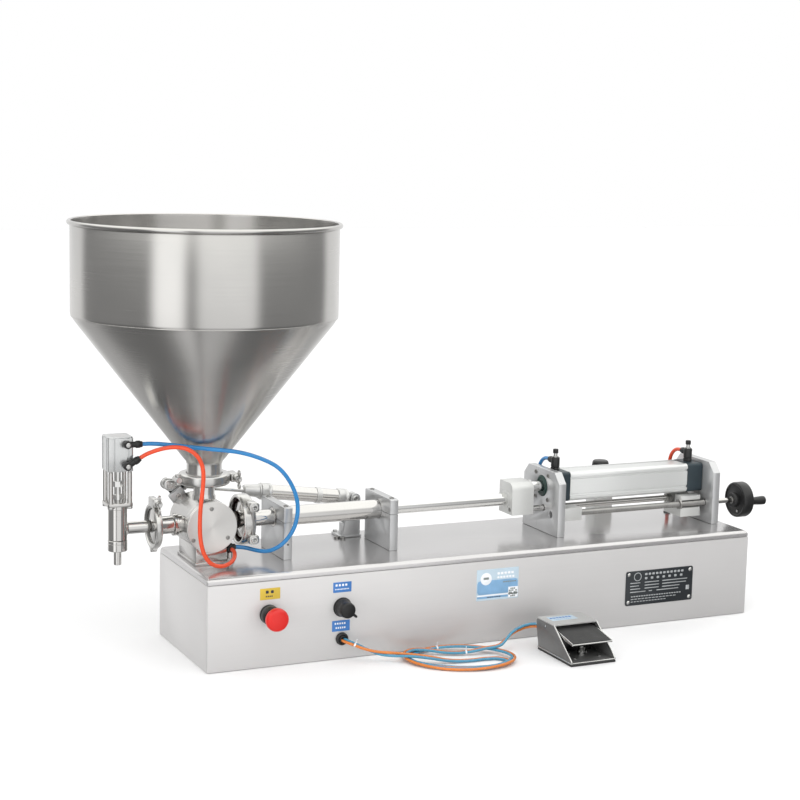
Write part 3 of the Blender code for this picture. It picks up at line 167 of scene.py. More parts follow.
M = {
    "hopper": lathed("hopper_steel", "Z", (0.575, 0.57, 0.555), 0.25, mottle=0.05, mottle_scale=6,
                     second=(0.60, 0.585, 0.565), spin="Z", anisotropic=0.8),
    "steel_x": lathed("turned_steel_x", "X", roughness=0.12),
    "steel_y": lathed("turned_steel_y", "Y", roughness=0.2),
    "steel_z": lathed("turned_steel_z", "Z", roughness=0.13),
    "cover": surface("valve_cover_steel", (0.72, 0.71, 0.69), 0.34, 0.8, (500, 8, 500), tone=0.03,
                     spread=0.04, bump=0.02, mottle=0.03, spin="Y", anisotropic=0.8),
    "chrome": lathed("chrome", "X", (0.74, 0.74, 0.73), 0.07),
    "cast": surface("cast_steel", (0.60, 0.595, 0.58), 0.24, 1.0, (420, 420, 420), tone=0.08,
                    spread=0.08, bump=0.10, mottle=0.07, mottle_scale=50, grain_depth=0.0004),
    "cabinet": surface("cabinet_steel", (0.635, 0.625, 0.62), 0.38, 0.40, (2.0, 380, 380),
                       tone=0.02, spread=0.05, bump=0.02, mottle=0.03, mottle_scale=5),
    "lid": surface("lid_steel", (0.59, 0.58, 0.58), 0.20, 0.75, (2.0, 420, 420), tone=0.02,
                   spread=0.04, bump=0.02, mottle=0.04, mottle_scale=7),
    "plate": surface("machined_aluminium", (0.56, 0.565, 0.57), 0.30, 0.70, (300, 300, 6),
                     tone=0.04, spread=0.06, bump=0.04, mottle=0.04, mottle_scale=20),
    "block": surface("anodised_aluminium", (0.62, 0.625, 0.61), 0.38, 0.40, (260, 260, 260),
                     tone=0.03, spread=0.05, bump=0.05, mottle=0.03),
    "profile": surface("air_cylinder_profile", (0.70, 0.71, 0.70), 0.30, 0.45, (3, 500, 500),
                       tone=0.03, spread=0.05, bump=0.04, mottle=0.02),
    "nozzle_profile": surface("nozzle_cylinder_profile", (0.66, 0.67, 0.67), 0.26, 0.85,
                              (500, 500, 3), tone=0.04, spread=0.06, bump=0.05, mottle=0.03),
    "cap": surface("dark_end_cap", (0.022, 0.036, 0.045), 0.42, 0.2, (700, 700, 700), tone=0.15,
                   spread=0.1, bump=0.12, mottle=0.1, mottle_scale=40),
    "grey_cap": surface("grey_end_cap", (0.66, 0.66, 0.65), 0.36, 0.7, (500, 500, 500), tone=0.05,
                        spread=0.07, bump=0.1, mottle=0.04),
    "screw": surface("threaded_steel", (0.36, 0.355, 0.345), 0.32, 1.0, (300, 300, 300), tone=0.15,
                     spread=0.1, bump=0.1, mottle=0.1, mottle_scale=80),
    "black": surface("black_plastic", (0.009, 0.009, 0.0095), 0.36, 0.0, (900, 900, 900), tone=0.2,
                     spread=0.1, bump=0.12, mottle=0.12, mottle_scale=50),
    "rubber": surface("black_rubber", (0.028, 0.028, 0.028), 0.62, 0.0, (800, 800, 800), tone=0.2,
                      spread=0.1, bump=0.25, mottle=0.15, mottle_scale=60),
    "red": surface("red_plastic", (0.62, 0.010, 0.006), 0.34, 0.0, (700, 700, 700), tone=0.04,
                   spread=0.08, bump=0.08, mottle=0.04, mottle_scale=40, coat=0.15),
    "gasket": surface("gasket_rubber", (0.12, 0.014, 0.014), 0.5, 0.0, (500, 500, 500), tone=0.2,
                      spread=0.1, bump=0.1, mottle=0.2, mottle_scale=90),
    "green": surface("green_seal", (0.02, 0.05, 0.042), 0.45, 0.0, (500, 500, 500), tone=0.15,
                     spread=0.1, bump=0.1, mottle=0.15, mottle_scale=90),
    "pedal": surface("pedal_paint", (0.15, 0.15, 0.148), 0.34, 0.35, (650, 650, 650), tone=0.16,
                     spread=0.1, bump=0.3, mottle=0.1, mottle_scale=35, grain_depth=0.0003),
    "pedal_top": surface("pedal_cover_paint", (0.48, 0.485, 0.475), 0.36, 0.45, (650, 650, 650),
                         tone=0.14, spread=0.1, bump=0.3, mottle=0.08, mottle_scale=35,
                         grain_depth=0.0003),
    "bright": surface("bright_edge_steel", (0.62, 0.62, 0.61), 0.24, 1.0, (300, 300, 300),
                      tone=0.08, spread=0.08, bump=0.1, mottle=0.06, mottle_scale=50),
    "blue_hose": surface("blue_hose", (0.014, 0.190, 0.46), 0.22, 0.0, (200, 200, 200), tone=0.05,
                         spread=0.05, bump=0.05, mottle=0.08, mottle_scale=30, coat=0.4,
                         subsurface=0.05),
    "orange_hose": surface("orange_red_hose", (0.68, 0.060, 0.013), 0.24, 0.0, (200, 200, 200),
                           tone=0.05, spread=0.05, bump=0.05, mottle=0.06, mottle_scale=30,
                           coat=0.3, subsurface=0.05),
    "pedal_orange": surface("pedal_orange_hose", (0.62, 0.180, 0.028), 0.26, 0.0, (200, 200, 200),
                            tone=0.06, spread=0.05, bump=0.05, mottle=0.1, mottle_scale=25,
                            coat=0.3, subsurface=0.05),
    "pedal_blue": surface("pedal_blue_hose", (0.060, 0.26, 0.40), 0.26, 0.0, (200, 200, 200),
                          tone=0.06, spread=0.05, bump=0.05, mottle=0.1, mottle_scale=25,
                          coat=0.3, subsurface=0.05),
    "white": surface("white_print", (0.80, 0.82, 0.85), 0.45, 0.0, (500, 500, 500), tone=0.03,
                     spread=0.05, bump=0.03, mottle=0.03),
    "yellow": surface("yellow_label", (0.62, 0.44, 0.05), 0.40, 0.0, (400, 400, 400), tone=0.03,
                      spread=0.05, bump=0.03, mottle=0.05, mottle_scale=30),
    "blue": surface("blue_label", (0.045, 0.175, 0.47), 0.40, 0.0, (400, 400, 400), tone=0.04,
                    spread=0.05, bump=0.03, mottle=0.05, mottle_scale=30),
    "pale_blue": surface("pale_blue_label", (0.47, 0.58, 0.66), 0.36, 0.0, (400, 400, 400),
                         tone=0.03, spread=0.05, bump=0.03, mottle=0.06, mottle_scale=30),
    "sky": surface("mid_blue_print", (0.19, 0.36, 0.56), 0.40, 0.0, (400, 400, 400), tone=0.04,
                   spread=0.05, bump=0.03, mottle=0.10, mottle_scale=60),
    "grey_print": surface("grey_print", (0.20, 0.23, 0.22), 0.5, 0.0, (500, 500, 500), tone=0.1,
                          spread=0.05, bump=0.03, mottle=0.05),
    "dark_seal": surface("dark_seal", (0.022, 0.016, 0.016), 0.42, 0.0, (500, 500, 500), tone=0.2,
                         spread=0.1, bump=0.1, mottle=0.3, mottle_scale=90,
                         second=(0.05, 0.018, 0.018)),
    "print": surface("dark_print", (0.03, 0.035, 0.045), 0.5, 0.0, (500, 500, 500), tone=0.1,
                     spread=0.05, bump=0.03, mottle=0.05),
    "nameplate": surface("black_nameplate", (0.022, 0.026, 0.030), 0.33, 0.2, (500, 30, 500),
                         tone=0.1, spread=0.08, bump=0.05, mottle=0.15, mottle_scale=30),
    "silver": surface("silver_print", (0.52, 0.54, 0.55), 0.35, 0.6, (500, 500, 500), tone=0.05,
                      spread=0.05, bump=0.03, mottle=0.05),
}


# ---------------------------------------------------------------- shapes
UP, ACROSS, BACK = Vector((0, 0, 1)), Vector((1, 0, 0)), Vector((0, 1, 0))
PLANES = {
    "XY": Matrix(((1, 0, 0), (0, 1, 0), (0, 0, 1))),
    "YZ": Matrix(((0, 0, 1), (1, 0, 0), (0, 1, 0))),
    "XZ": Matrix(((1, 0, 0), (0, 0, -1), (0, 1, 0))),
}
HEX = 6


def arc(u, v, radius, start, end, count):
    """Points of an arc, angles in degrees."""
    steps = [radians(start + (end - start) * i / count) for i in range(count + 1)]
    return [(u + radius * cos(a), v + radius * sin(a)) for a in steps]


def circle(u, v, radius, count=48):
    return arc(u, v, radius, 0, 360, count)[:-1]


def rounded(u0, v0, u1, v1, corner, count=6):
    """A rectangle with rounded corners."""
    return [*arc(u1 - corner, v1 - corner, corner, 0, 90, count),
            *arc(u0 + corner, v1 - corner, corner, 90, 180, count),
            *arc(u0 + corner, v0 + corner, corner, 180, 270, count),
            *arc(u1 - corner, v0 + corner, corner, 270, 360, count)]


def spread_radius(radius, sides, angle):
    """Distance from the axis to a circle, or to a regular polygon of that half width."""
    if not sides:
        return radius
    step = 2 * pi / sides
    return radius / cos(angle % step - step / 2)


class Shape:
    """Collects closed forms, each with its finish, into one piece."""

    def __init__(self, name):
        self.name = name
        self.mesh = bmesh.new()
        self.finishes = []
        self.frame = Matrix.Identity(4)

    def merge(self, part, finish):
        if finish not in self.finishes:
            self.finishes.append(finish)
        bmesh.ops.recalc_face_normals(part, faces=part.faces)
        for face in part.faces:
            face.material_index = self.finishes.index(finish)
            face.smooth = True
        part.transform(self.frame)
        scratch = bpy.data.meshes.new("scratch")
        part.to_mesh(scratch)
        part.free()
        self.mesh.from_mesh(scratch)
        bpy.data.meshes.remove(scratch)
        return self

    def turn(self, profile, origin, axis, finish, steps=64, ring=False):
        """A turned form: (radius, height) or (half width, height, sides) along the axis."""
        part = bmesh.new()
        axis = Vector(axis).normalized()
        side = axis.orthogonal().normalized()
        other = axis.cross(side)
        origin = Vector(origin)
        rows = []
        for radius, height, *sides in profile:
            middle = origin + axis * height
            if radius < 1e-6:
                rows.append([part.verts.new(middle)])
                continue
            row = []
            for i in range(steps):
                angle = 2 * pi * i / steps
                r = spread_radius(radius, sides[0] if sides else 0, angle)
                row.append(part.verts.new(middle + (side * cos(angle) + other * sin(angle)) * r))
            rows.append(row)
        pairs = list(zip(rows, rows[1:]))
        if ring:
            pairs.append((rows[-1], rows[0]))
        for low, high in pairs:
            for i in range(steps):
                j = (i + 1) % steps
                corners = [low[0]] if len(low) == 1 else [low[i], low[j]]
                corners += [high[0]] if len(high) == 1 else [high[j], high[i]]
                if len(corners) > 2:
                    part.faces.new(corners)
        return self.merge(part, finish)

    def bar(self, start, end, radius, finish, edge=0.0005, steps=40, sides=0):
        """A round or many-sided bar with broken edges."""
        start, end = Vector(start), Vector(end)
        length = (end - start).length
        profile = [(0, 0), (radius - edge, 0, sides), (radius, edge, sides),
                   (radius, length - edge, sides), (radius - edge, length, sides), (0, length)]
        return self.turn(profile, start, end - start, finish, steps)

    def block(self, low, high, finish, edge=0.0006, segments=2):
        """A block between two stations with broken edges."""
        part = bmesh.new()
        bmesh.ops.create_cube(part, size=1.0)
        low, high = at(*low), at(*high)
        bmesh.ops.scale(part, vec=high - low, verts=part.verts)
        bmesh.ops.translate(part, vec=(low + high) / 2, verts=part.verts)
        bmesh.ops.bevel(part, geom=part.edges[:], offset=edge, segments=segments, profile=0.5,
                        affect="EDGES")
        return self.merge(part, finish)

    def plate(self, loops, low, high, plane, finish, edge=0.0005):
        """A flat form from closed outlines of stations, later ones being holes."""
        curve = bpy.data.curves.new("outline", "CURVE")
        curve.dimensions = "2D"
        curve.fill_mode = "BOTH"
        curve.extrude = (high - low) / 2 - edge
        curve.bevel_depth = edge
        curve.offset = -edge
        curve.bevel_resolution = 1
        for loop in loops:
            spline = curve.splines.new("POLY")
            spline.points.add(len(loop) - 1)
            for point, (u, v) in zip(spline.points, loop):
                point.co = (u, v, 0.0, 1.0)
            spline.use_cyclic_u = True
        guide = bpy.data.objects.new("outline", curve)
        SCENE.collection.objects.link(guide)
        bpy.context.view_layer.update()
        drawn = bpy.data.meshes.new_from_object(
            guide.evaluated_get(bpy.context.evaluated_depsgraph_get()))
        part = bmesh.new()
        part.from_mesh(drawn)
        bpy.data.objects.remove(guide, do_unlink=True)
        bpy.data.curves.remove(curve)
        bpy.data.meshes.remove(drawn)
        bmesh.ops.remove_doubles(part, verts=part.verts, dist=0.000005)
        turned = PLANES[plane]
        middle = turned @ Vector((0, 0, (low + high) / 2)) * (-1 if plane == "XZ" else 1)
        part.transform(Matrix.Translation(CORNER + middle) @ turned.to_4x4())
        return self.merge(part, finish)

    def tube(self, points, radius, finish, sides=12, ring=False):
        """A round bar along a route."""
        part = bmesh.new()
        points = [Vector(p) for p in points]
        count = len(points)
        normal, rows = None, []
        for i, point in enumerate(points):
            after = points[(i + 1) % count] if ring or i < count - 1 else point
            before = points[i - 1] if ring or i else point
            along = (after - before).normalized()
            normal = along.orthogonal() if normal is None else normal - along * normal.dot(along)
            normal.normalize()
            other = along.cross(normal)
            rows.append([part.verts.new(point + (normal * cos(a) + other * sin(a)) * radius)
                         for a in (2 * pi * k / sides for k in range(sides))])
        pairs = list(zip(rows, rows[1:])) + ([(rows[-1], rows[0])] if ring else [])
        for low, high in pairs:
            for i in range(sides):
                j = (i + 1) % sides
                part.faces.new((low[i], low[j], high[j], high[i]))
        if not ring:
            part.faces.new(rows[0][::-1])
            part.faces.new(rows[-1])
        return self.merge(part, finish)

    def screw_head(self, place, axis, radius, height, finish, socket=True):
        """A cap screw's head with its hexagon socket, standing on a face."""
        well = 0.55 * radius
        profile = [(0, 0), (radius, 0), (radius, height * 0.8), (radius * 0.88, height)]
        profile += [(well, height, HEX), (well, height * 0.35, HEX), (0, height * 0.3)] \
            if socket else [(0, height)]
        return self.turn(profile, place, axis, finish, 24)

    def nut(self, place, axis, half, height, finish):
        """A hexagon nut with chamfered corners."""
        profile = [(0, 0), (half * 0.97, 0), (half * 0.985, height * 0.12, HEX),
                   (half, height * 0.14, HEX), (half, height * 0.86, HEX),
                   (half * 0.985, height * 0.88, HEX), (half * 0.97, height), (0, height)]
        return self.turn(profile, place, axis, finish, 36)

    def done(self, body, slot, *nodes):
        made = bpy.data.meshes.new(self.name)
        self.mesh.to_mesh(made)
        self.mesh.free()
        for finish in self.finishes:
            made.materials.append(M[finish])
        made.set_sharp_from_angle(angle=radians(38))
        piece = bpy.data.objects.new(self.name, made)
        SCENE.collection.objects.link(piece)
        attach(piece, body)
        if nodes:
            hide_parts(*nodes)
        return piece


# ---------------------------------------------------------------- hoses
def smooth_route(points, spacing):
    """Points at about the given spacing along a smooth curve through the route."""
    ends = [2 * points[0] - points[1], *points, 2 * points[-1] - points[-2]]
    route = [points[0]]
    for i in range(1, len(ends) - 2):
        a, b, c, d = ends[i - 1:i + 3]
        count = max(1, ceil((c - b).length / spacing))
        for step in range(1, count + 1):
            t = step / count
            route.append(0.5 * (2 * b + (c - a) * t + (2 * a - 5 * b + 4 * c - d) * t * t
                                + (3 * b - a - 3 * c + d) * t ** 3))
    return route


def hose(name, route, radius, finish, slot, *nodes, ends="object"):
    """A free hose, as a curve along its centreline."""
    curve = bpy.data.curves.new(name, "CURVE")
    curve.dimensions = "3D"
    curve.bevel_depth = radius
    curve.bevel_resolution = 6
    curve.resolution_u = 6
    curve.use_fill_caps = True
    spline = curve.splines.new("BEZIER")
    spline.bezier_points.add(len(route) - 1)
    for point, place in zip(spline.bezier_points, route):
        point.co = place
        point.handle_left_type = point.handle_right_type = "AUTO"
    curve.materials.append(M[finish])
    piece = bpy.data.objects.new(name, curve)
    SCENE.collection.objects.link(piece)
    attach(piece, "machine")
    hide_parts(*nodes)
    length = sum((b - a).length for a, b in zip(route, route[1:]))
    return piece, length


HOSE_RADIUS = 0.003
CYLINDER_Y = 0.112
CYLINDER_HOSE_Z = 0.2430
HOSE_BEND = 0.028
FITTING_REACH = 0.0172
FRONT_FITTING_X, REAR_FITTING_X = 0.6085, 0.8545
BEND_Y = CYLINDER_Y + FITTING_REACH + 0.0058
HOSE_DROP_Y = BEND_Y + HOSE_BEND


def falling_route(x):
    """Stations of a hose that leaves a fitting rearwards, turns down and enters the cover."""
    arch = [(x, BEND_Y + HOSE_BEND * sin(radians(a)),
             CYLINDER_HOSE_Z - HOSE_BEND * (1 - cos(radians(a)))) for a in (0, 22, 45, 68, 90)]
    return [(x, CYLINDER_Y + FITTING_REACH, CYLINDER_HOSE_Z), *arch, (x, HOSE_DROP_Y, 0.1980),
            (x, HOSE_DROP_Y, 0.1750), (x, HOSE_DROP_Y, 0.1200)]


ROUTES = {
    "nozzle_hose_blue": ("blue_hose", "blue_hose", [
        (-0.0652, 0.0892, 0.3110), (-0.0540, 0.0890, 0.3109), (-0.0380, 0.0862, 0.3098),
        (-0.0180, 0.0780, 0.3080), (0.0050, 0.0660, 0.3058), (0.0300, 0.0560, 0.3035),
        (0.0600, 0.0500, 0.2995), (0.0900, 0.0455, 0.2905), (0.1200, 0.0430, 0.2740),
        (0.1410, 0.0430, 0.2460), (0.1500, 0.0445, 0.2150), (0.1450, 0.0470, 0.1840),
        (0.1300, 0.0540, 0.1610), (0.1140, 0.0680, 0.1495), (0.1000, 0.0820, 0.1490),
        (0.0880, 0.0908, 0.1514), (0.0743, 0.0940, 0.1530)]),
    "nozzle_hose_orange": ("orange_hose", "orange_hose", [
        (-0.0683, 0.0892, 0.2914), (-0.0600, 0.0882, 0.2962), (-0.0440, 0.0800, 0.3035),
        (-0.0270, 0.0670, 0.3082), (-0.0110, 0.0560, 0.3065), (0.0005, 0.0495, 0.2980),
        (0.0070, 0.0470, 0.2860), (0.0095, 0.0465, 0.2700), (0.0085, 0.0470, 0.2480),
        (0.0060, 0.0470, 0.2258), (0.0050, 0.0470, 0.2006), (0.0060, 0.0460, 0.1780),
        (0.0110, 0.0445, 0.1580), (0.0210, 0.0435, 0.1445), (0.0345, 0.0440, 0.1395),
        (0.0475, 0.0480, 0.1405), (0.0580, 0.0560, 0.1445), (0.0640, 0.0670, 0.1490),
        (0.0660, 0.0770, 0.1515), (0.0660, 0.0847, 0.1520)]),
    "cylinder_hose_blue": ("blue_hose", "blue_hose", falling_route(FRONT_FITTING_X)),
    "cylinder_hose_orange": ("orange_hose", "orange_hose", falling_route(REAR_FITTING_X)),
}
for name, (finish, slot, stations) in ROUTES.items():
    route = smooth_route([at(*s) for s in stations], spacing=0.016)
    piece, length = hose(name + "_tube", route, HOSE_RADIUS, finish, slot, name)

# The pedal's two hoses lie side by side. Their spare length is wound in one and a half
# loose turns, crossed at the start and at the end by the straight runs.
TWIN_RADIUS = 0.002
TWIN_OFFSET = 0.00212
COIL_MIDDLE = at(0.358, -0.066, 0.0)
COIL_SKEW = radians(25.4)
LONG = Vector((cos(COIL_SKEW), -sin(COIL_SKEW), 0.0))
SHORT = Vector((sin(COIL_SKEW), cos(COIL_SKEW), 0.0))
TURN_START, TURN_END, TURN_STEPS = -12.0, -548.0, 30


def on_coil(u, v, z):
    return COIL_MIDDLE + LONG * u + SHORT * v + UP * z


def between(table, t):
    """Smooth value of a small table of (place, value) at t."""
    for (t0, v0), (t1, v1) in zip(table, table[1:]):
        if t <= t1:
            s = (t - t0) / (t1 - t0)
            s = s * s * (3 - 2 * s)
            return v0 + (v1 - v0) * s
    return table[-1][1]


COIL_ALONG = [(0.0, 0.0715), (0.34, 0.0735), (0.67, 0.0770), (1.0, 0.0785)]
COIL_ACROSS = [(0.0, 0.0430), (0.2, 0.0430), (0.5, 0.0505), (0.83, 0.0515), (1.0, 0.0500)]
COIL_LIFT = [(0.0, 0.0022), (0.34, 0.0022), (0.5, 0.0060), (0.67, 0.0066), (0.83, 0.0024),
             (1.0, 0.0066)]
centreline = [at(*s) for s in (
    (0.2020, -0.0054, 0.0300), (0.2025, -0.0100, 0.0299), (0.2062, -0.0172, 0.0288),
    (0.2130, -0.0225, 0.0262), (0.2240, -0.0262, 0.0212), (0.2370, -0.0295, 0.0158),
    (0.2500, -0.0335, 0.0124), (0.2640, -0.0395, 0.0112))]
lead_count = len(centreline)
centreline += [on_coil(*p) for p in (
    (-0.0817, -0.0177, 0.0110), (-0.0640, -0.0195, 0.0108), (-0.0420, -0.0195, 0.0085),
    (-0.0150, -0.0160, 0.0040), (0.0150, -0.0070, 0.0022), (0.0400, 0.0040, 0.0022),
    (0.0580, 0.0055, 0.0022))]
for step in range(TURN_STEPS + 1):
    t = step / TURN_STEPS
    angle = radians(TURN_START + (TURN_END - TURN_START) * t)
    centreline.append(on_coil(between(COIL_ALONG, t) * cos(angle),
                              between(COIL_ACROSS, t) * sin(angle), between(COIL_LIFT, t)))
turn_last = len(centreline)
centreline += [on_coil(*p) for p in (
    (-0.0660, 0.0220, 0.0072), (-0.0480, 0.0250, 0.0066), (-0.0200, 0.0235, 0.0040),
    (0.0100, 0.0260, 0.0045), (0.0360, 0.0325, 0.0085))]
centreline += [at(*s) for s in (
    (0.4292, -0.0548, 0.0118), (0.4370, -0.0505, 0.0142), (0.4475, -0.0440, 0.0185),
    (0.4600, -0.0375, 0.0230), (0.4730, -0.0335, 0.0262), (0.4850, -0.0325, 0.0285),
    (0.4955, -0.0352, 0.0298), (0.5020, -0.0415, 0.0300), (0.5045, -0.0492, 0.0300))]
# The pair rolls over once on its way, so that neither hose is always above the other.
ROLL_OVER = [(0, -20), (3, -20), (lead_count + 1, 160), (lead_count + 4, 180),
             (turn_last + 4, 180), (turn_last + 9, 250), (len(centreline) - 1, 270)]


def beside(route, sign):
    """The route of one of the two hoses, from the middle line between them."""
    moved = []
    for i, point in enumerate(route):
        along = (route[min(i + 1, len(route) - 1)] - route[max(i - 1, 0)]).normalized()
        side = along.cross(UP).normalized()
        over = side.cross(along)
        roll = radians(between(ROLL_OVER, i))
        moved.append(point + (side * cos(roll) + over * sin(roll)) * TWIN_OFFSET * sign)
    return moved


TIE_PLACES = [3, lead_count + 13 + TURN_STEPS // 2 - 8, turn_last + 3]
for number, index in enumerate(TIE_PLACES):
    along = (centreline[index + 1] - centreline[index - 1]).normalized()
    side = along.cross(UP).normalized()
    over = side.cross(along)
    middle = centreline[index]
    loop = [middle + side * (0.0044 * cos(a)) + over * (0.0025 * sin(a))
            for a in (2 * pi * k / 20 for k in range(20))]
    tie = Shape("hose_tie_%d" % number)
    for shift in (-0.0008, 0.0, 0.0008):
        tie.tube([p + along * shift for p in loop], 0.0005, "white", 8, ring=True)
    tie.tube([middle + over * 0.0026 + along * 0.001, middle + over * 0.0065 + side * 0.002,
              middle + over * 0.0095 + side * 0.005], 0.0006, "white", 8)
    tie.done("machine", "twin_hose")

for name, finish, sign in (("pedal_hose_orange", "pedal_orange", 1), ("pedal_hose_blue", "pedal_blue", -1)):
    route = beside(centreline, sign)
    piece, length = hose(name, route, TWIN_RADIUS, finish, "twin_hose",
                         "pedal_hoses_lead", "pedal_hoses_coil", "pedal_hoses_tail")

# ---------------------------------------------------------------- floor, world and lights
floor_mesh = bpy.data.meshes.new("floor")
floor_mesh.from_pydata([(-9, -9, 0), (9, -9, 0), (9, 9, 0), (-9, 9, 0)], [], [(0, 1, 2, 3)])
floor_mesh.materials.append(surface("pale_floor", (0.93, 0.93, 0.93), 0.85, tone=0.004,
                                    spread=0.03, bump=0.0, mottle=0.004))
floor = bpy.data.objects.new("floor", floor_mesh)
floor.location.z = CAD_BOX[0].z - 0.0004
floor.visible_glossy = False
SCENE.collection.objects.link(floor)

world = bpy.data.worlds.new("studio")
SCENE.world = world
world.use_nodes = True
world.node_tree.nodes.clear()
w = Nodes(world.node_tree)
toward = w.add("ShaderNodeTexCoord").outputs["Generated"]
parts = w.add("ShaderNodeSeparateXYZ", Vector=toward)
bearing = w.add("ShaderNodeMath", {"operation": "ARCTAN2"}, i0=parts.outputs[1],
                i1=parts.outputs[0]).outputs[0]


def turned_share(offset):
    """Bearing as a share of a turn, counted from offset degrees."""
    moved = w.add("ShaderNodeMath", {"operation": "SUBTRACT"}, i0=bearing, i1=radians(offset))
    share = w.add("ShaderNodeMath", {"operation": "DIVIDE"}, i0=moved.outputs[0], i1=2 * pi)
    return w.add("ShaderNodeMath", {"operation": "FRACT"}, i0=share.outputs[0]).outputs[0]


# Bearings run anticlockwise, and 0 is towards the front left, where the object is seen from.
FRONT_BEARING = -110.0
SURROUND = 0.30           # brightness of the room between the panels
PANELS = (                # bearing and half width in degrees, and added brightness
    (-30, 8, 1.20),       # tall narrow panel on one side
    (20, 20, 0.80),       # broad panel on the other
    (180, 50, 0.60))      # white wall behind
PANEL_EDGE = 12           # degrees over which a panel fades out
CEILING = (1.60, 1.60, 1.56, 1.0)

room = SURROUND
for middle, half, brightness in PANELS:
    turn = turned_share(FRONT_BEARING + middle - 180)
    away = w.add("ShaderNodeMath", {"operation": "SUBTRACT"}, i0=turn, i1=0.5).outputs[0]
    away = w.add("ShaderNodeMath", {"operation": "ABSOLUTE"}, i0=away).outputs[0]
    glow = w.add("ShaderNodeMapRange", {"interpolation_type": "SMOOTHSTEP"}, Value=away,
                 i1=half / 360, i2=(half + PANEL_EDGE) / 360, i3=brightness, i4=0.0).outputs[0]
    room = w.add("ShaderNodeMath", {"operation": "ADD"}, i0=room, i1=glow).outputs[0]
height = parts.outputs[2]
shade = w.add("ShaderNodeMapRange", {"interpolation_type": "SMOOTHSTEP"}, Value=height,
              i1=-0.20, i2=-0.45, i3=1.0, i4=0.6).outputs[0]
room = w.add("ShaderNodeMath", {"operation": "MULTIPLY"}, i0=room, i1=shade).outputs[0]
to_upper = w.add("ShaderNodeMapRange", {"interpolation_type": "SMOOTHSTEP"}, Value=height,
                 i1=0.25, i2=0.6, i3=0.0, i4=1.0).outputs[0]
whole = w.add("ShaderNodeMix", {"data_type": "RGBA"}, i0=to_upper, i6=room,
              i7=CEILING).outputs[2]
rays = w.add("ShaderNodeLightPath")
glossy = w.add("ShaderNodeBackground", Color=whole, Strength=1.0)
backdrop = w.add("ShaderNodeBackground", Color=(1.0, 1.0, 1.0, 1.0), Strength=1.0)
even = w.add("ShaderNodeBackground", Color=(1.0, 1.0, 1.0, 1.0), Strength=1.10)
unlit = w.add("ShaderNodeMixShader", i0=rays.outputs["Is Camera Ray"], i1=even.outputs[0],
              i2=backdrop.outputs[0])
lit = w.add("ShaderNodeMixShader", i0=rays.outputs["Is Glossy Ray"], i1=unlit.outputs[0],
            i2=glossy.outputs[0])
w.add("ShaderNodeOutputWorld", Surface=lit.outputs[0])

for name, place, size, power, aim in (
        ("key", (1.5, -3.0, 0.45), 0.7, 13.0, (0.3, 0.0, 0.1)),
        ("side", (-3.2, -0.7, 0.35), 1.4, 46.0, (-0.4, 0.0, 0.1)),
        ("top", (0.1, -1.4, 2.7), 2.4, 16.0, (0.4, 0.1, 0.1))):
    light = bpy.data.lights.new(name, "AREA")
    light.size = size
    light.energy = power
    lamp = bpy.data.objects.new(name, light)
    SCENE.collection.objects.link(lamp)
    lamp.location = at(*place)
    lamp.rotation_euler = (at(*aim) - lamp.location).to_track_quat("-Z", "Y").to_euler()
    lamp.visible_glossy = False


# ---------------------------------------------------------------- cabinet
SEAM = 0.0005
low, high = reach("cabinet_body")
shell = Shape("cabinet_shell")
shell.block((low.x, low.y + 0.0024, low.z), high, "cabinet", 0.0008)
shell.block((low.x + SEAM, low.y, low.z + SEAM), (high.x - SEAM, low.y + 0.0019, high.z - SEAM),
            "cabinet", 0.0007)
shell.done("machine", "cabinet_steel", "cabinet_body")

low, high = reach("cabinet_lid")
CROWN = 0.0062
cover = Shape("cabinet_cover")
part = bmesh.new()
corner = part.verts.new
rings = []
quarter_turn = [pi / 2 * i / 8 for i in range(9)]
levels = [(low.z + 0.0004, 0.0)]
levels += [(high.z - CROWN * (1 - sin(a)), CROWN * (1 - cos(a))) for a in quarter_turn]
for z, shrink in levels:
    radius = max(0.0035 - shrink * 0.4, 0.0012)
    rings.append([corner(at(u, v, z)) for u, v in rounded(
        low.x + shrink, low.y + shrink, high.x - shrink, high.y - shrink, radius, 4)])
for a, b in zip(rings, rings[1:]):
    for i in range(len(a)):
        j = (i + 1) % len(a)
        part.faces.new((a[i], a[j], b[j], b[i]))
part.faces.new(rings[0][::-1])
part.faces.new(rings[-1])
cover.merge(part, "lid")
cover.done("machine", "cabinet_steel", "cabinet_lid")
LID = high.z

grommets = Shape("cover_grommets")
for x, y in ((FRONT_FITTING_X, HOSE_DROP_Y), (REAR_FITTING_X, HOSE_DROP_Y)):
    grommets.turn([(0.0032, 0), (0.0062, 0), (0.0062, 0.0012), (0.0052, 0.0022), (0.0032, 0.0022)],
                  at(x, y, LID), UP, "rubber", 40, ring=True)
grommets.done("machine", "black_rubber")


# ---------------------------------------------------------------- front panel
def label(name, x0, z0, x1, z1, finish, ink, rows, slot="black_plastic"):
    """A stuck-on label: rows of plain marks, each (height, starts and ends across it)."""
    made = Shape(name)
    made.plate([rounded(x0, z0, x1, z1, 0.0008)], -0.0003, 0.0001, "XZ", finish, 0.0001)
    for z, size, marks in rows:
        for start, end in marks:
            made.plate([rounded(x0 + start, z - size / 2, x0 + end, z + size / 2, size * 0.2, 2)],
                       -0.00042, -0.0002, "XZ", ink, 0.00003)
    return made.done("machine", slot)


def dashes(start, end, size, gap):
    """Evenly spaced marks from start to end."""
    count = int((end - start + gap) / (size + gap))
    return [(start + i * (size + gap), start + i * (size + gap) + size) for i in range(count)]


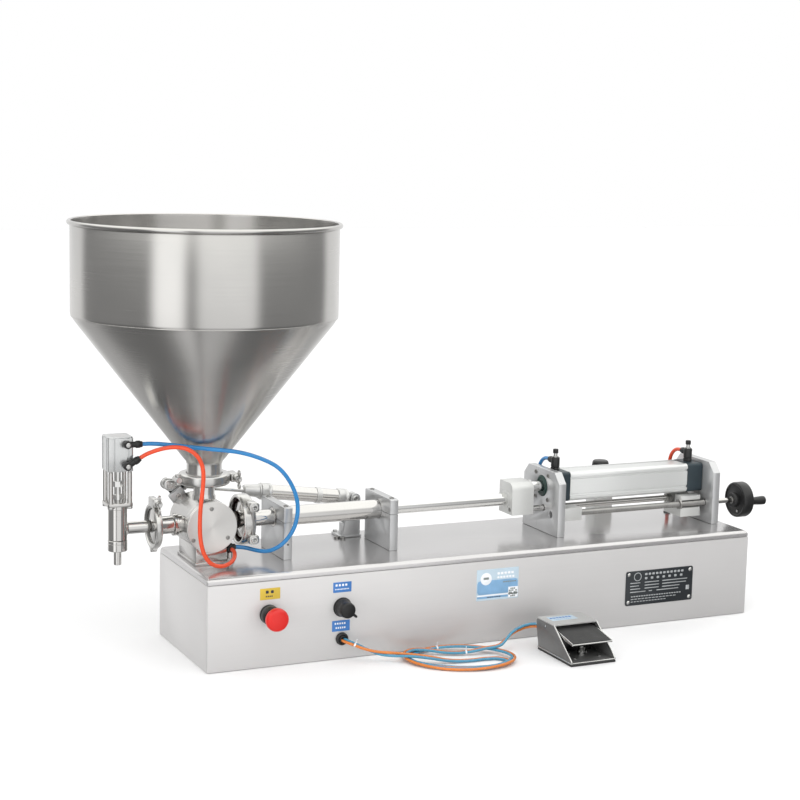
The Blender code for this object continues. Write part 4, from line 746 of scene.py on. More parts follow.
label("estop_label", 0.0772, 0.0976, 0.1073, 0.1139, "yellow", "print",
      [(0.1085, 0.0042, dashes(0.0085, 0.0215, 0.0042, 0.0034)),
       (0.1022, 0.0020, dashes(0.0085, 0.0215, 0.0018, 0.0010))])
label("dial_label", 0.1877, 0.0979, 0.2159, 0.1129, "blue", "white",
      [(0.1085, 0.0032, dashes(0.0035, 0.0250, 0.0030, 0.0020)),
       (0.1026, 0.0017, dashes(0.0030, 0.0255, 0.0014, 0.0008))])
label("hose_label", 0.1869, 0.0411, 0.2143, 0.0569, "blue", "white",
      [(0.0525, 0.0026, dashes(0.0040, 0.0240, 0.0022, 0.0014)),
       (0.0462, 0.0026, dashes(0.0055, 0.0225, 0.0020, 0.0013))])

label("maker_sticker", 0.4170, 0.0640, 0.4870, 0.1110, "pale_blue", "sky",
      [(0.0835, 0.0210, [(0.0012, 0.0688)]), (0.0685, 0.0030, [(0.0012, 0.0688)])])
marks = Shape("maker_sticker_marks")
INK = (-0.00062, -0.0003)


def stamp(finish, *loops):
    marks.plate(list(loops), *INK, "XZ", finish, 0.00003)


stamp("white", circle(0.4325, 0.0965, 0.0092))
stamp("white", rounded(0.4182, 0.0704, 0.4858, 0.0722, 0.0003))
marks.plate([rounded(0.4280, 0.0955, 0.4370, 0.0990, 0.0010)], -0.00068, -0.0005, "XZ",
            "grey_print", 0.00003)
for z, size, start, end, mark, gap, finish in (
        (0.1035, 0.0034, 0.034, 0.066, 0.0042, 0.0016, "white"),
        (0.0975, 0.0030, 0.034, 0.066, 0.0036, 0.0014, "white"),
        (0.0900, 0.0020, 0.044, 0.066, 0.0028, 0.0010, "grey_print"),
        (0.0685, 0.0012, 0.018, 0.040, 0.0030, 0.0008, "print")):
    for a, c in dashes(start, end, mark, gap):
        stamp(finish, rounded(0.4170 + a, z - size / 2, 0.4170 + c, z + size / 2, size * 0.25, 2))
stamp("white", rounded(0.4700, 0.0655, 0.4860, 0.0815, 0.0004))
for i in range(5):
    for j in range(5):
        if (i * 3 + j * 5) % 4:
            x, z = 0.4708 + i * 0.0028, 0.0664 + j * 0.0028
            marks.plate([rounded(x, z, x + 0.0023, z + 0.0023, 0.0002, 1)], -0.00068, -0.0005,
                        "XZ", "grey_print", 0.00002)
marks.done("machine", "black_plastic")

PLATE_LOW, PLATE_HIGH = (0.6750, 0.0320), (0.7970, 0.0860)
badge = Shape("nameplate")
badge.plate([rounded(*PLATE_LOW, *PLATE_HIGH, 0.0035)], -0.0009, 0.0001, "XZ", "nameplate", 0.0002)
for i, (z, size, spans) in enumerate((
        (0.0800, 0.0034, dashes(0.034, 0.106, 0.0044, 0.0022)),
        (0.0735, 0.0036, dashes(0.034, 0.112, 0.0045, 0.0062)),
        (0.0672, 0.0013, [(0.008, 0.026), (0.034, 0.060), (0.066, 0.112)]),
        (0.0625, 0.0013, [(0.008, 0.024), (0.034, 0.060), (0.066, 0.110)]),
        (0.0578, 0.0013, [(0.008, 0.026), (0.034, 0.060), (0.066, 0.098)]),
        (0.0531, 0.0013, [(0.008, 0.036), (0.042, 0.048), (0.056, 0.096)]),
        (0.0460, 0.0016, dashes(0.010, 0.104, 0.0034, 0.0012)),
        (0.0418, 0.0012, dashes(0.010, 0.098, 0.0050, 0.0014)),
        (0.0378, 0.0012, dashes(0.010, 0.078, 0.0040, 0.0014)))):
    for start, end in spans:
        badge.plate([rounded(PLATE_LOW[0] + start, z - size / 2, PLATE_LOW[0] + end, z + size / 2,
                             size * 0.3, 2)], -0.00105, -0.0008, "XZ", "silver", 0.00003)
for u in (0.058, 0.110):
    badge.plate([rounded(PLATE_LOW[0] + u, 0.0490, PLATE_LOW[0] + u + 0.0060, 0.0560, 0.0003)]
                if u > 0.1 else [circle(0.6960, 0.0768, 0.0068), circle(0.6960, 0.0768, 0.0056)],
                -0.00105, -0.0008, "XZ", "silver", 0.00003)
badge.done("machine", "black_plastic")
rivets = Shape("nameplate_rivets")
for x in (0.6805, 0.7915):
    for z in (0.0372, 0.0808):
        rivets.turn([(0, 0), (0.0030, 0), (0.0030, 0.0004), (0.0023, 0.0012), (0.0012, 0.0016),
                     (0, 0.0017)], at(x, -0.0008, z), -BACK, "bright", 32)
rivets.done("machine", "chrome")

ESTOP, DIAL, GROMMET = at(0.0905, 0, 0.0768), at(0.2025, 0, 0.0760), at(0.2020, 0, 0.0300)
collar = Shape("estop_ring")
collar.turn([(0.0070, 0.0170), (0.0122, 0.0170), (0.0130, 0.0164), (0.0138, 0.0148),
             (0.0138, 0.0062), (0.0133, 0.0055), (0.0138, 0.0048), (0.0138, 0.0006),
             (0.0134, 0.0002), (0.0070, 0.0002)], ESTOP, -BACK, "black", 72, ring=True)
collar.done("machine", "black_plastic", "estop_collar")
head = Shape("estop_button")
head.turn([(0, -0.002), (0.0064, -0.002), (0.0064, 0.0245), (0.0138, 0.0245), (0.0150, 0.0262),
           (0.0162, 0.0288), (0.0165, 0.0304), (0.0165, 0.0338), (0.0160, 0.0356),
           (0.0146, 0.0378), (0.0122, 0.0391), (0.0085, 0.0398), (0, 0.0400)],
          ESTOP, -BACK, "red", 96)
head.done("estop", "red_plastic", "estop_head")

knob = Shape("selector_knob")
knob.turn([(0, -0.002), (0.0048, -0.002), (0.0048, 0.0010), (0.0126, 0.0010), (0.0130, 0.0018),
           (0.0130, 0.0058), (0.0121, 0.0074), (0.0118, 0.0150), (0.0113, 0.0210),
           (0.0104, 0.0224), (0.0090, 0.0230), (0, 0.0230)], DIAL, -BACK, "black", 72)
DIAL_TILT = radians(52)
knob.frame = Matrix.Translation(DIAL) @ Matrix.Rotation(-DIAL_TILT, 4, BACK) @ \
    Matrix.Translation(-DIAL)
knob.plate([[(DIAL.x - CORNER.x - 0.0030, 0.0760), (DIAL.x - CORNER.x - 0.0018, 0.0606),
             *arc(DIAL.x - CORNER.x, 0.0606, 0.0017, 200, 340, 6),
             (DIAL.x - CORNER.x + 0.0018, 0.0606), (DIAL.x - CORNER.x + 0.0030, 0.0760),
             (DIAL.x - CORNER.x, 0.0800)]], -0.0227, -0.0150, "XZ", "black", 0.0006)
knob.done("dial", "black_plastic", "dial_knob")
dial_base = Shape("dial_scale_ring")
dial_base.turn([(0.0080, 0.0001), (0.0142, 0.0001), (0.0142, 0.0005), (0.0138, 0.0008),
                (0.0080, 0.0008)], DIAL, -BACK, "black", 64, ring=True)
dial_base.done("machine", "black_plastic")

seal = Shape("hose_entry_grommet")
seal.turn([(0.0052, 0.0030), (0.0062, 0.0046), (0.0074, 0.0052), (0.0086, 0.0046), (0.0092, 0.0034),
           (0.0092, 0.0002), (0.0070, 0.0002), (0.0070, -0.0030), (0.0052, -0.0030)],
          GROMMET, -BACK, "rubber", 64, ring=True)
seal.turn([(0, 0.0), (0.0053, 0.0), (0.0053, 0.0010), (0, 0.0010)], GROMMET, -BACK, "rubber", 32)
seal.turn([(0.0044, 0.0010), (0.0053, 0.0010), (0.0053, 0.0040), (0.0047, 0.0084),
           (0.0044, 0.0084)], GROMMET, -BACK, "rubber", 40, ring=True)
seal.done("machine", "black_rubber", "hose_grommet")

# ---------------------------------------------------------------- hopper
HOPPER = at(0.0340, 0.1140, 0.0)
RIM, WELD, NECK, FOOT = 0.6170, 0.4848, 0.2755, 0.2518
WALL, DRUM, THROAT = 0.0018, 0.1870, 0.0250
BEAD = 0.0033
bead = [(DRUM + 0.0010 + BEAD * cos(a), RIM - BEAD + BEAD * sin(a))
        for a in (radians(140 - 270 * i / 14) for i in range(15))]
outer = [(DRUM, RIM - 0.0080), (DRUM, WELD + 0.0042), (DRUM - 0.0002, WELD + 0.0022),
         (DRUM - 0.0010, WELD + 0.0004), (DRUM - 0.0024, WELD - 0.0014)]
slope = (DRUM - THROAT) / (WELD - NECK)
cone = [(THROAT + slope * (z - NECK), z) for z in (0.4780, 0.4200, 0.3600, 0.3100, 0.2830)]
neck = [(THROAT + 0.0014, NECK + 0.0024), (THROAT + 0.0002, NECK + 0.0004), (THROAT, NECK - 0.0012),
        (THROAT, FOOT + 0.0045), (THROAT + 0.0008, FOOT + 0.0030), (0.0312, FOOT + 0.0021),
        (0.0320, FOOT + 0.0014), (0.0320, FOOT + 0.0002), (0.0110, FOOT)]
inner = [(THROAT - WALL, FOOT + 0.0090), (THROAT - WALL, NECK), (THROAT - WALL + 0.0015, NECK + 0.003),
         *[(THROAT + slope * (z - NECK) - WALL * 1.26, z) for z in (0.2830, 0.36, 0.42, 0.4780)],
         (DRUM - WALL - 0.0018, WELD + 0.0002), (DRUM - WALL, WELD + 0.0040), (DRUM - WALL, RIM - 0.006)]
hopper = Shape("hopper_bowl")
hopper.turn([*bead, *outer, *cone, *neck, *inner], HOPPER, UP, "hopper", 160, ring=True)
hopper.done("machine", "polished_steel", "hopper")
welds = Shape("hopper_weld_beads")
for radius, z, size in ((DRUM - 0.0012, WELD, 0.0007), (THROAT + 0.0004, NECK, 0.0006)):
    welds.turn([(radius + size * cos(a), z + size * sin(a)) for a in
                (2 * pi * k / 10 for k in range(10))], HOPPER, UP, "hopper", 128, ring=True)
welds.done("machine", "polished_steel")


# ---------------------------------------------------------------- hygienic clamps
def wing_nut(name, x, y, z, body, node):
    """A wing nut on a stud that runs front to back, its back face at station y."""
    nut = Shape(name)
    nut.turn([(0.0030, 0), (0.0050, 0), (0.0056, 0.0006), (0.0055, 0.0090), (0.0048, 0.0118),
              (0.0040, 0.0125), (0.0030, 0.0125)], at(x, y, z), -BACK, "cast", 48, ring=True)
    for side in (1, -1):
        nut.plate([[(y - 0.0060, z + side * 0.0035),
                    *arc(y - 0.0122, z + side * 0.0090, 0.0048, -60 * side, 230 * side, 18),
                    (y - 0.0128, z + side * 0.0035)][::side]],
                  x - 0.0013, x + 0.0013, "YZ", "cast", 0.0005)
    return nut.done(body, "cast_steel", node)


def clamp(name, centre, axis, profile, body, node, lug, stud, knuckle):
    """A hinged ring with its closing lug, stud and hinge knuckle."""
    ring = Shape(name)
    ring.turn(profile, centre, axis, "cast", 120, ring=True)
    ring.block(*lug, "cast", 0.0016, 3)
    ring.bar(at(*stud[0]), at(*stud[1]), 0.0025, "bright", 0.0004, 32)
    for place in knuckle[:-1]:
        ring.bar(at(*place[0]), at(*place[1]), knuckle[-1], "cast", 0.0006, 40)
    return ring.done(body, "cast_steel", node)


clamp("hopper_clamp_ring", HOPPER, UP,
      [(0.0337, 0.2605), (0.0352, 0.2600), (0.0366, 0.2582), (0.0370, 0.2560), (0.0370, 0.2490),
       (0.0366, 0.2468), (0.0352, 0.2450), (0.0337, 0.2445), (0.0262, 0.2445), (0.0262, 0.2466),
       (0.0327, 0.2470), (0.0327, 0.2560), (0.0262, 0.2570), (0.0262, 0.2605)],
      "machine", "hopper_clamp",
      ((0.0695, 0.0985, 0.2465), (0.0820, 0.1250, 0.2585)),
      ((0.0765, 0.0800, 0.2525), (0.0765, 0.1240, 0.2525)),
      [((-0.0060, 0.1040, 0.2525), (-0.0060, 0.1240, 0.2525)),
       ((-0.0048, 0.1140, 0.2450), (-0.0048, 0.1140, 0.2600)), 0.0045])
wing_nut("hopper_clamp_nut", 0.0765, 0.0978, 0.2525, "hopper_nut", "hopper_wing_nut")

LINE = at(0.0, 0.1140, 0.1880)
MIDDLE = -0.0407          # middle plane of the nozzle's clamp
clamp("nozzle_clamp_ring", LINE, ACROSS,
      [(0.0298, MIDDLE + 0.0047), (0.0312, MIDDLE + 0.0043), (0.0320, MIDDLE + 0.0027),
       (0.0320, MIDDLE - 0.0028), (0.0314, MIDDLE - 0.0042), (0.0302, MIDDLE - 0.0046),
       (0.0284, MIDDLE - 0.0044), (0.0274, MIDDLE - 0.0030), (0.0252, MIDDLE - 0.0022),
       (0.0252, MIDDLE + 0.0027), (0.0185, MIDDLE + 0.0035), (0.0185, MIDDLE + 0.0047)],
      "machine", "nozzle_clamp",
      ((MIDDLE - 0.0045, 0.1000, 0.2165), (MIDDLE + 0.0045, 0.1250, 0.2290)),
      ((MIDDLE, 0.0815, 0.2235), (MIDDLE, 0.1240, 0.2235)),
      [((MIDDLE - 0.0044, 0.1140, 0.1545), (MIDDLE + 0.0044, 0.1140, 0.1545)),
       ((MIDDLE, 0.1060, 0.1575), (MIDDLE, 0.1220, 0.1575)), 0.0040])
wing_nut("nozzle_clamp_nut", MIDDLE, 0.0993, 0.2235, "nozzle_nut", "nozzle_wing_nut")

# ---------------------------------------------------------------- valve
valve = Shape("valve_housing")
valve.turn([(0, 0.0808), (0.0362, 0.0808), (0.0370, 0.0816), (0.0370, 0.0888), (0.0366, 0.0892),
            (0.0366, 0.0900), (0.0370, 0.0904), (0.0370, 0.1572), (0.0362, 0.1580), (0, 0.1580)],
           at(0.0340, 0, 0.1880), BACK, "steel_y", 128)
valve.turn([(0.0090, 0.2508), (0.0312, 0.2508), (0.0320, 0.2502), (0.0320, 0.2494),
            (0.0310, 0.2486), (0.0160, 0.2474), (0.0150, 0.2462), (0.0150, 0.2290),
            (0.0164, 0.2270), (0.0164, 0.2100), (0.0090, 0.2100)], HOPPER, UP, "steel_z", 96,
           ring=True)
valve.turn([(0.0098, -0.0060), (0.0135, -0.0060), (0.0135, 0.0002), (0.0150, 0.0010),
            (0.0150, 0.0150), (0.0098, 0.0150)], LINE, ACROSS, "steel_x", 96, ring=True)
valve.turn([(0.0095, 0.0898), (0.0247, 0.0898), (0.0255, 0.0892), (0.0255, 0.0886),
            (0.0247, 0.0880), (0.0135, 0.0870), (0.0125, 0.0858), (0.0125, 0.0600),
            (0.0095, 0.0600)], LINE, ACROSS, "steel_x", 96, ring=True)
valve.block((0.0110, 0.0812, 0.1338), (0.0570, 0.1560, 0.1600), "steel_y", 0.0010)
valve.block((0.0090, 0.0775, 0.1336), (0.0590, 0.1575, 0.1376), "steel_y", 0.0008)
valve.done("machine", "polished_steel", "valve_body")
disc = Shape("valve_front_cover")
disc.turn([(0, 0.0765), (0.0362, 0.0765), (0.0369, 0.0772), (0.0369, 0.0798), (0.0363, 0.0805),
           (0, 0.0805)], at(0.0340, 0, 0.1880), BACK, "cover", 128)
disc.done("machine", "polished_steel", "valve_cover")
screws = Shape("valve_cover_screws")
for x, z in ((0.0324, 0.2148), (0.0056, 0.1715), (0.0568, 0.1717)):
    screws.turn([(0, 0), (0.0030, 0), (0.0030, 0.0007), (0.0024, 0.0011), (0.0013, 0.0011, HEX),
                 (0.0013, 0.0002, HEX), (0, 0.0002)], at(x, 0.0765, z), -BACK, "screw", 36)
screws.done("machine", "chrome")
spool = Shape("valve_rotor")
spool.turn([(0, 0.0812), (0.0234, 0.0812), (0.0234, 0.1490), (0.0080, 0.1497), (0.0080, 0.1712),
            (0, 0.1715)], at(0.0340, 0, 0.1880), BACK, "steel_y", 64)
spool.done("valve", "chrome", "valve_spool")

# the lever on the spindle, and the lug that the actuator's fork straddles
CRANK_LENGTH, CRANK_ANGLE, ACTUATOR_Y = 0.0554, radians(126.6), 0.1780
SPINDLE = at(0.0340, 0, 0.1880)
lever = Shape("crank_arm")
lever.frame = Matrix.Translation(SPINDLE) @ Matrix.Rotation(-CRANK_ANGLE, 4, BACK) @ \
    Matrix.Translation(-CORNER)
lever.plate([rounded(-0.0140, -0.0125, 0.0260, 0.0125, 0.0030)], 0.1600, 0.1735, "XZ", "cast",
            0.0012)
lever.plate([[(0.0080, -0.0052), *arc(CRANK_LENGTH, 0.0, 0.0050, -90, 90, 16), (0.0080, 0.0052)]],
            0.1751, 0.1808, "XZ", "rubber", 0.0006)
lever.plate([rounded(0.0080, -0.0070, 0.0250, 0.0070, 0.0020)], 0.1730, 0.1762, "XZ", "cast",
            0.0008)
lever.plate([rounded(0.0200, -0.0115, 0.0465, 0.0115, 0.0030)], 0.1602, 0.1685, "XZ", "plate",
            0.0010)
lever.done("valve", "cast_steel", "crank_lever")
lever_bolts = Shape("crank_bolts")
lever_bolts.frame = lever.frame
lever_bolts.screw_head(at(0.0380, 0.1602, 0.0), -BACK, 0.0042, 0.0024, "bright")
lever_bolts.screw_head(at(0.0, 0.1600, 0.0), -BACK, 0.0062, 0.0020, "bright")
lever_bolts.bar(at(CRANK_LENGTH, 0.1700, 0.0), at(CRANK_LENGTH, 0.1860, 0.0), 0.0026, "bright")
lever_bolts.screw_head(at(CRANK_LENGTH, 0.1690, 0.0), -BACK, 0.0046, 0.0026, "bright")
lever_bolts.nut(at(CRANK_LENGTH, 0.1868, 0.0), BACK, 0.0042, 0.0034, "bright")
lever_bolts.done("valve", "chrome")

# ---------------------------------------------------------------- outlet and nozzle
pipe = Shape("outlet_tube")
pipe.turn([(0.0095, -0.0063), (0.0150, -0.0063), (0.0160, -0.0070), (0.0160, -0.0092),
           (0.0153, -0.0096), (0.0153, -0.0102), (0.0160, -0.0106), (0.0160, -0.0128),
           (0.0152, -0.0135), (0.0128, -0.0139), (0.0128, MIDDLE + 0.0047),
           (0.0136, MIDDLE + 0.0034), (0.0232, MIDDLE + 0.0026), (0.0240, MIDDLE + 0.0020),
           (0.0240, MIDDLE + 0.0011), (0.0236, MIDDLE + 0.0007), (0.0095, MIDDLE + 0.0007)],
          LINE, ACROSS, "steel_x", 96, ring=True)
pipe.done("machine", "polished_steel", "outlet_pipe")

NOZZLE_X, NOZZLE_Y = -0.0930, 0.1140
NOZZLE = at(NOZZLE_X, NOZZLE_Y, 0)
barrel = Shape("nozzle_housing")
barrel.turn([(0.0100, 0.1727), (0.0128, 0.1727), (0.0134, 0.1733), (0.0134, 0.2166),
             (0.0142, 0.2172), (0.0142, 0.2216), (0.0054, 0.2222), (0.0054, 0.2140),
             (0.0100, 0.2100)], NOZZLE, UP, "steel_z", 96, ring=True)
barrel.plate([rounded(NOZZLE_X - 0.018, NOZZLE_Y - 0.018, NOZZLE_X + 0.018, NOZZLE_Y + 0.018,
                      0.0050)], 0.2221, 0.2270, "XY", "steel_z", 0.0007)
barrel.turn([(0.0070, MIDDLE), (0.0232, MIDDLE), (0.0240, MIDDLE - 0.0005),
             (0.0240, MIDDLE - 0.0013), (0.0232, MIDDLE - 0.0019), (0.0100, MIDDLE - 0.0029),
             (0.0087, MIDDLE - 0.0043), (0.0087, -0.0790),
             (0.0098, -0.0800), (0.0104, -0.0830), (0.0070, -0.0840)], LINE, ACROSS, "steel_x", 96,
            ring=True)
POST = 0.0135
for i in (-1, 1):
    for j in (-1, 1):
        foot = at(NOZZLE_X + i * POST, NOZZLE_Y + j * POST, 0)
        barrel.turn([(0, 0.2265), (0.0034, 0.2265), (0.0034, 0.2700), (0.0030, 0.2704),
                     (0.0030, 0.2712), (0.0034, 0.2717), (0, 0.2717)], foot, UP, "steel_z", 40)
barrel.done("machine", "polished_steel", "nozzle_barrel")
fixings = Shape("nozzle_fixings")
for i in (-1, 1):
    for j in (-1, 1):
        place = at(NOZZLE_X + i * POST, NOZZLE_Y + j * POST, 0)
        fixings.nut(place + UP * 0.2221, -UP, 0.0034, 0.0034, "bright")
        fixings.screw_head(place + UP * 0.3200, UP, 0.0030, 0.0004, "bright")
fixings.done("machine", "chrome")

tip = Shape("nozzle_spout")
tip.turn([(0.0090, 0.1722), (0.0131, 0.1722), (0.0137, 0.1716), (0.0137, 0.1680),
          (0.0133, 0.1676), (0.0137, 0.1672), (0.0137, 0.1576), (0.0130, 0.1568),
          (0.0070, 0.1566), (0.0054, 0.1554), (0.0054, 0.1370), (0.0050, 0.1365),
          (0.0038, 0.1365), (0.0036, 0.1372), (0.0036, 0.1600), (0.0090, 0.1650)],
         NOZZLE, UP, "steel_z", 96, ring=True)
tip.done("machine", "polished_steel", "nozzle_tip")
needle = Shape("nozzle_valve_rod")
needle.turn([(0, 0.1615), (0.0020, 0.1640), (0.0048, 0.1680), (0.0048, 0.2300), (0.0066, 0.2304),
             (0.0066, 0.2372), (0.0048, 0.2376), (0.0048, 0.2480), (0.0060, 0.2484, HEX),
             (0.0060, 0.2560, HEX), (0.0048, 0.2564), (0.0048, 0.2775), (0, 0.2775)],
            NOZZLE, UP, "chrome", 60)
needle.done("needle", "chrome", "nozzle_needle")


def grooved(cx, cy, half, corner, grooves, depth, width):
    """A square section with rounded corners and grooves along each face."""
    quarter = []
    for g in grooves:
        quarter += [(g - width / 2, -half), (g - width / 2, -half + depth),
                    (g + width / 2, -half + depth), (g + width / 2, -half)]
    quarter += arc(half - corner, -half + corner, corner, -90, 0, 8)
    loop = []
    for turn in range(4):
        c, s = cos(turn * pi / 2), sin(turn * pi / 2)
        loop += [(cx + u * c - v * s, cy + u * s + v * c) for u, v in quarter]
    return loop


nozzle_air = Shape("nozzle_air_cylinder_body")
nozzle_air.plate([grooved(NOZZLE_X, NOZZLE_Y, 0.0180, 0.0030, (-0.0100, 0.0100), 0.0020, 0.0030)],
                 0.2722, 0.3188, "XY", "nozzle_profile", 0.0003)
nozzle_air.plate([rounded(NOZZLE_X - 0.0176, NOZZLE_Y - 0.0176, NOZZLE_X + 0.0176,
                          NOZZLE_Y + 0.0176, 0.0040)], 0.3185, 0.3205, "XY", "nozzle_profile",
                 0.0006)
nozzle_air.turn([(0, 0.2700), (0.0095, 0.2700), (0.0095, 0.2722), (0, 0.2722)], NOZZLE, UP,
                "nozzle_profile", 48)
nozzle_air.turn([(0, 0.3200), (0.0112, 0.3200), (0.0112, 0.32055), (0, 0.3206)], NOZZLE, UP,
                "steel_z", 48)
nozzle_air.done("machine", "aluminium", "nozzle_air_cylinder")


def elbow(name, node, x, y, z, rise):
    """A push-in elbow: banjo on the face, collar at the hose, and a bright screw."""
    made = Shape(name)
    made.turn([(0, 0), (0.0044, 0, HEX), (0.0044, 0.0016, HEX), (0.0050, 0.0020), (0.0055, 0.0026),
               (0.0055, 0.0104), (0.0050, 0.0112), (0, 0.0112)], at(x, y, z), -BACK, "black", 48)
    direction = Vector((cos(rise), 0, sin(rise)))
    made.turn([(0, 0), (0.0042, 0), (0.0042, 0.0110), (0.0050, 0.0118), (0.0052, 0.0126),
               (0.0052, 0.0172), (0.0046, 0.0180), (0.0044, 0.0184), (0.0044, 0.0204),
               (0.0034, 0.0205), (0, 0.0205)], at(x, y - 0.0065, z), direction, "black", 48)
    made.done("machine", "black_plastic", node)
    bolt = Shape(name + "_screw")
    bolt.turn([(0, 0), (0.0034, 0), (0.0034, 0.0010), (0.0028, 0.0014), (0.0016, 0.0014, HEX),
               (0.0016, 0.0004, HEX), (0, 0.0004)], at(x, y - 0.0110, z), -BACK, "bright", 36)
    bolt.turn([(0, 0), (0.0036, 0), (0.0036, 0.0030), (0, 0.0030)], at(x, y - 0.0065, z),
              -direction, "bright", 36)
    bolt.done("machine", "chrome")


elbow("nozzle_fitting_upper", "nozzle_elbow_upper", -0.0860, 0.0957, 0.3110, 0.0)
elbow("nozzle_fitting_lower", "nozzle_elbow_lower", -0.0860, 0.0957, 0.2805, 0.55)

outlets = Shape("hose_outlet_fitting")
outlets.turn([(0, 0.1338), (0.0062, 0.1338, HEX), (0.0062, 0.1380, HEX), (0.0044, 0.1386),
              (0.0040, 0.1460), (0, 0.1460)], at(0.0660, 0.0940, 0), UP, "cast", 40)
outlets.block((0.0608, 0.0890, 0.1455), (0.0712, 0.0990, 0.1585), "black", 0.0022, 3)
outlets.turn([(0, 0), (0.0042, 0), (0.0046, 0.0006), (0.0046, 0.0044), (0.0040, 0.0050),
              (0, 0.0050)], at(0.0694, 0.0940, 0.1530), ACROSS, "black", 40)
outlets.turn([(0, 0), (0.0042, 0), (0.0046, 0.0006), (0.0046, 0.0044), (0, 0.0050)],
             at(0.0660, 0.0900, 0.1520), -BACK, "black", 40)
outlets.done("machine", "black_plastic", "hose_outlet_block")

# ---------------------------------------------------------------- metering cylinder
meter = Shape("metering_tube")
meter.turn([(0.0103, 0.3175), (0.0134, 0.3175), (0.0142, 0.3168), (0.0142, 0.1392),
            (0.0134, 0.1385), (0.0116, 0.1383), (0.0116, 0.0962), (0.0126, 0.0950),
            (0.0247, 0.0940), (0.0255, 0.0934), (0.0255, 0.0924), (0.0247, 0.0918),
            (0.0090, 0.0918), (0.0090, 0.1400), (0.0121, 0.1420), (0.0121, 0.3120),
            (0.0103, 0.3120)], LINE, ACROSS, "steel_x", 96, ring=True)
meter.done("machine", "polished_steel", "metering_cylinder")
big = Shape("cylinder_clamp_ring")
big.turn([(0.0344, 0.1010), (0.0358, 0.1004), (0.0368, 0.0990), (0.0370, 0.0975), (0.0370, 0.0865),
          (0.0366, 0.0845), (0.0354, 0.0832), (0.0340, 0.0830), (0.0324, 0.0832), (0.0316, 0.0842),
          (0.0312, 0.0870), (0.0312, 0.0962), (0.0160, 0.0968), (0.0150, 0.0976), (0.0150, 0.1002),
          (0.0160, 0.1010)], LINE, ACROSS, "cast", 120, ring=True)
big.turn([(0.0311, 0.0880), (0.0311, 0.0961), (0.0158, 0.0966), (0.0158, 0.0956),
          (0.0300, 0.0950), (0.0303, 0.0880)], LINE, ACROSS, "dark_seal", 96, ring=True)
for z in (0.2130, 0.1660):
    big.plate([rounded(0.0880, z - 0.0070, 0.1030, z + 0.0070, 0.0045)], 0.0720, 0.0900, "XZ",
              "cast", 0.0012)
big.bar(at(0.0955, 0.0790, 0.1690), at(0.0955, 0.0790, 0.2100), 0.0024, "screw")
big.done("machine", "cast_steel", "cylinder_clamp")
clamp_bolts = Shape("cylinder_clamp_bolts")
for z in (0.2130, 0.1660):
    clamp_bolts.turn([(0, 0), (0.0050, 0), (0.0050, 0.0014), (0.0044, 0.0020),
                      (0.0030, 0.0020, HEX), (0.0030, -0.0030, HEX), (0, -0.0030)],
                     at(0.0955, 0.0720, z), -BACK, "bright", 48)
clamp_bolts.done("machine", "chrome")
gasket = Shape("line_gasket")
gasket.turn([(0.0246 + 0.0016 * cos(a), 0.0906 + 0.0012 * sin(a)) for a in
             (2 * pi * k / 12 for k in range(12))], LINE, ACROSS, "gasket", 96, ring=True)
gasket.done("machine", "black_rubber")

SUPPORT_Y0, SUPPORT_Y1, GRIP = 0.0686, 0.1596, 0.01455
for side, x0 in (("left", 0.1390), ("right", 0.3065)):
    x1 = x0 + 0.0130
    notch = arc(0.1140, 0.1880, GRIP, 180, 360, 28)
    crest = arc(0.1140, 0.1880, GRIP, 0, 180, 28)
    lower_half = Shape(side + "_support_base")
    lower_half.plate([[(SUPPORT_Y0, 0.1338), (SUPPORT_Y0, 0.1877), (0.1140 - GRIP, 0.1877),
                       *notch[1:-1], (0.1140 + GRIP, 0.1877), (SUPPORT_Y1, 0.1877),
                       (SUPPORT_Y1, 0.1338)]], x0, x1, "YZ", "plate", 0.0005)
    lower_half.done("machine", "aluminium", side + "_support_lower")
    cap = Shape(side + "_support_top")
    cap.plate([[(SUPPORT_Y0, 0.1883), (SUPPORT_Y0, 0.2089), (SUPPORT_Y0 + 0.0016, 0.2105),
                (SUPPORT_Y1 - 0.0016, 0.2105), (SUPPORT_Y1, 0.2089), (SUPPORT_Y1, 0.1883),
                (0.1140 + GRIP, 0.1883), *crest[1:-1], (0.1140 - GRIP, 0.1883)]],
              x0, x1, "YZ", "plate", 0.0005)
    cap.done("machine", "aluminium", side + "_support_cap")
    bolts = Shape(side + "_support_screws")
    if side == "left":
        bolts.screw_head(at((x0 + x1) / 2, SUPPORT_Y0, 0.1560), -BACK, 0.0014, 0.0003, "black")
    for y in (0.0790, 0.1490):
        bolts.screw_head(at((x0 + x1) / 2, y, 0.2102), UP, 0.0036, 0.0016, "screw")
    bolts.done("machine", "chrome")

# ---------------------------------------------------------------- piston, rods and coupling
BLOCK0, BLOCK1 = 0.5235, 0.5615
rod = Shape("piston_shaft")
rod.turn([(0, 0.2862), (0.0116, 0.2862), (0.0118, 0.2866), (0.0118, 0.3076), (0.0100, 0.3080),
          (0.0100, BLOCK0 + 0.0060), (0, BLOCK0 + 0.0060)], LINE, ACROSS, "chrome", 96)
rod.done("piston", "chrome", "piston_rod")
air_rod = Shape("air_cylinder_rod")
air_rod.turn([(0, BLOCK1 - 0.0020), (0.0080, BLOCK1 - 0.0020), (0.0080, 0.7970), (0.0156, 0.7972),
              (0.0158, 0.7976), (0.0158, 0.8116), (0, 0.8120)], at(0, 0.1120, 0.2050), ACROSS,
             "chrome", 72)
air_rod.done("piston", "chrome", "air_rod")
block = Shape("rod_coupling")
block.plate([[(0.0925, 0.1655), (0.1350, 0.1655), (0.1350, 0.2137), (0.1332, 0.2155),
              *arc(0.1040, 0.2040, 0.0115, 90, 180, 10)]],
            BLOCK0, BLOCK1, "YZ", "block", 0.0010)
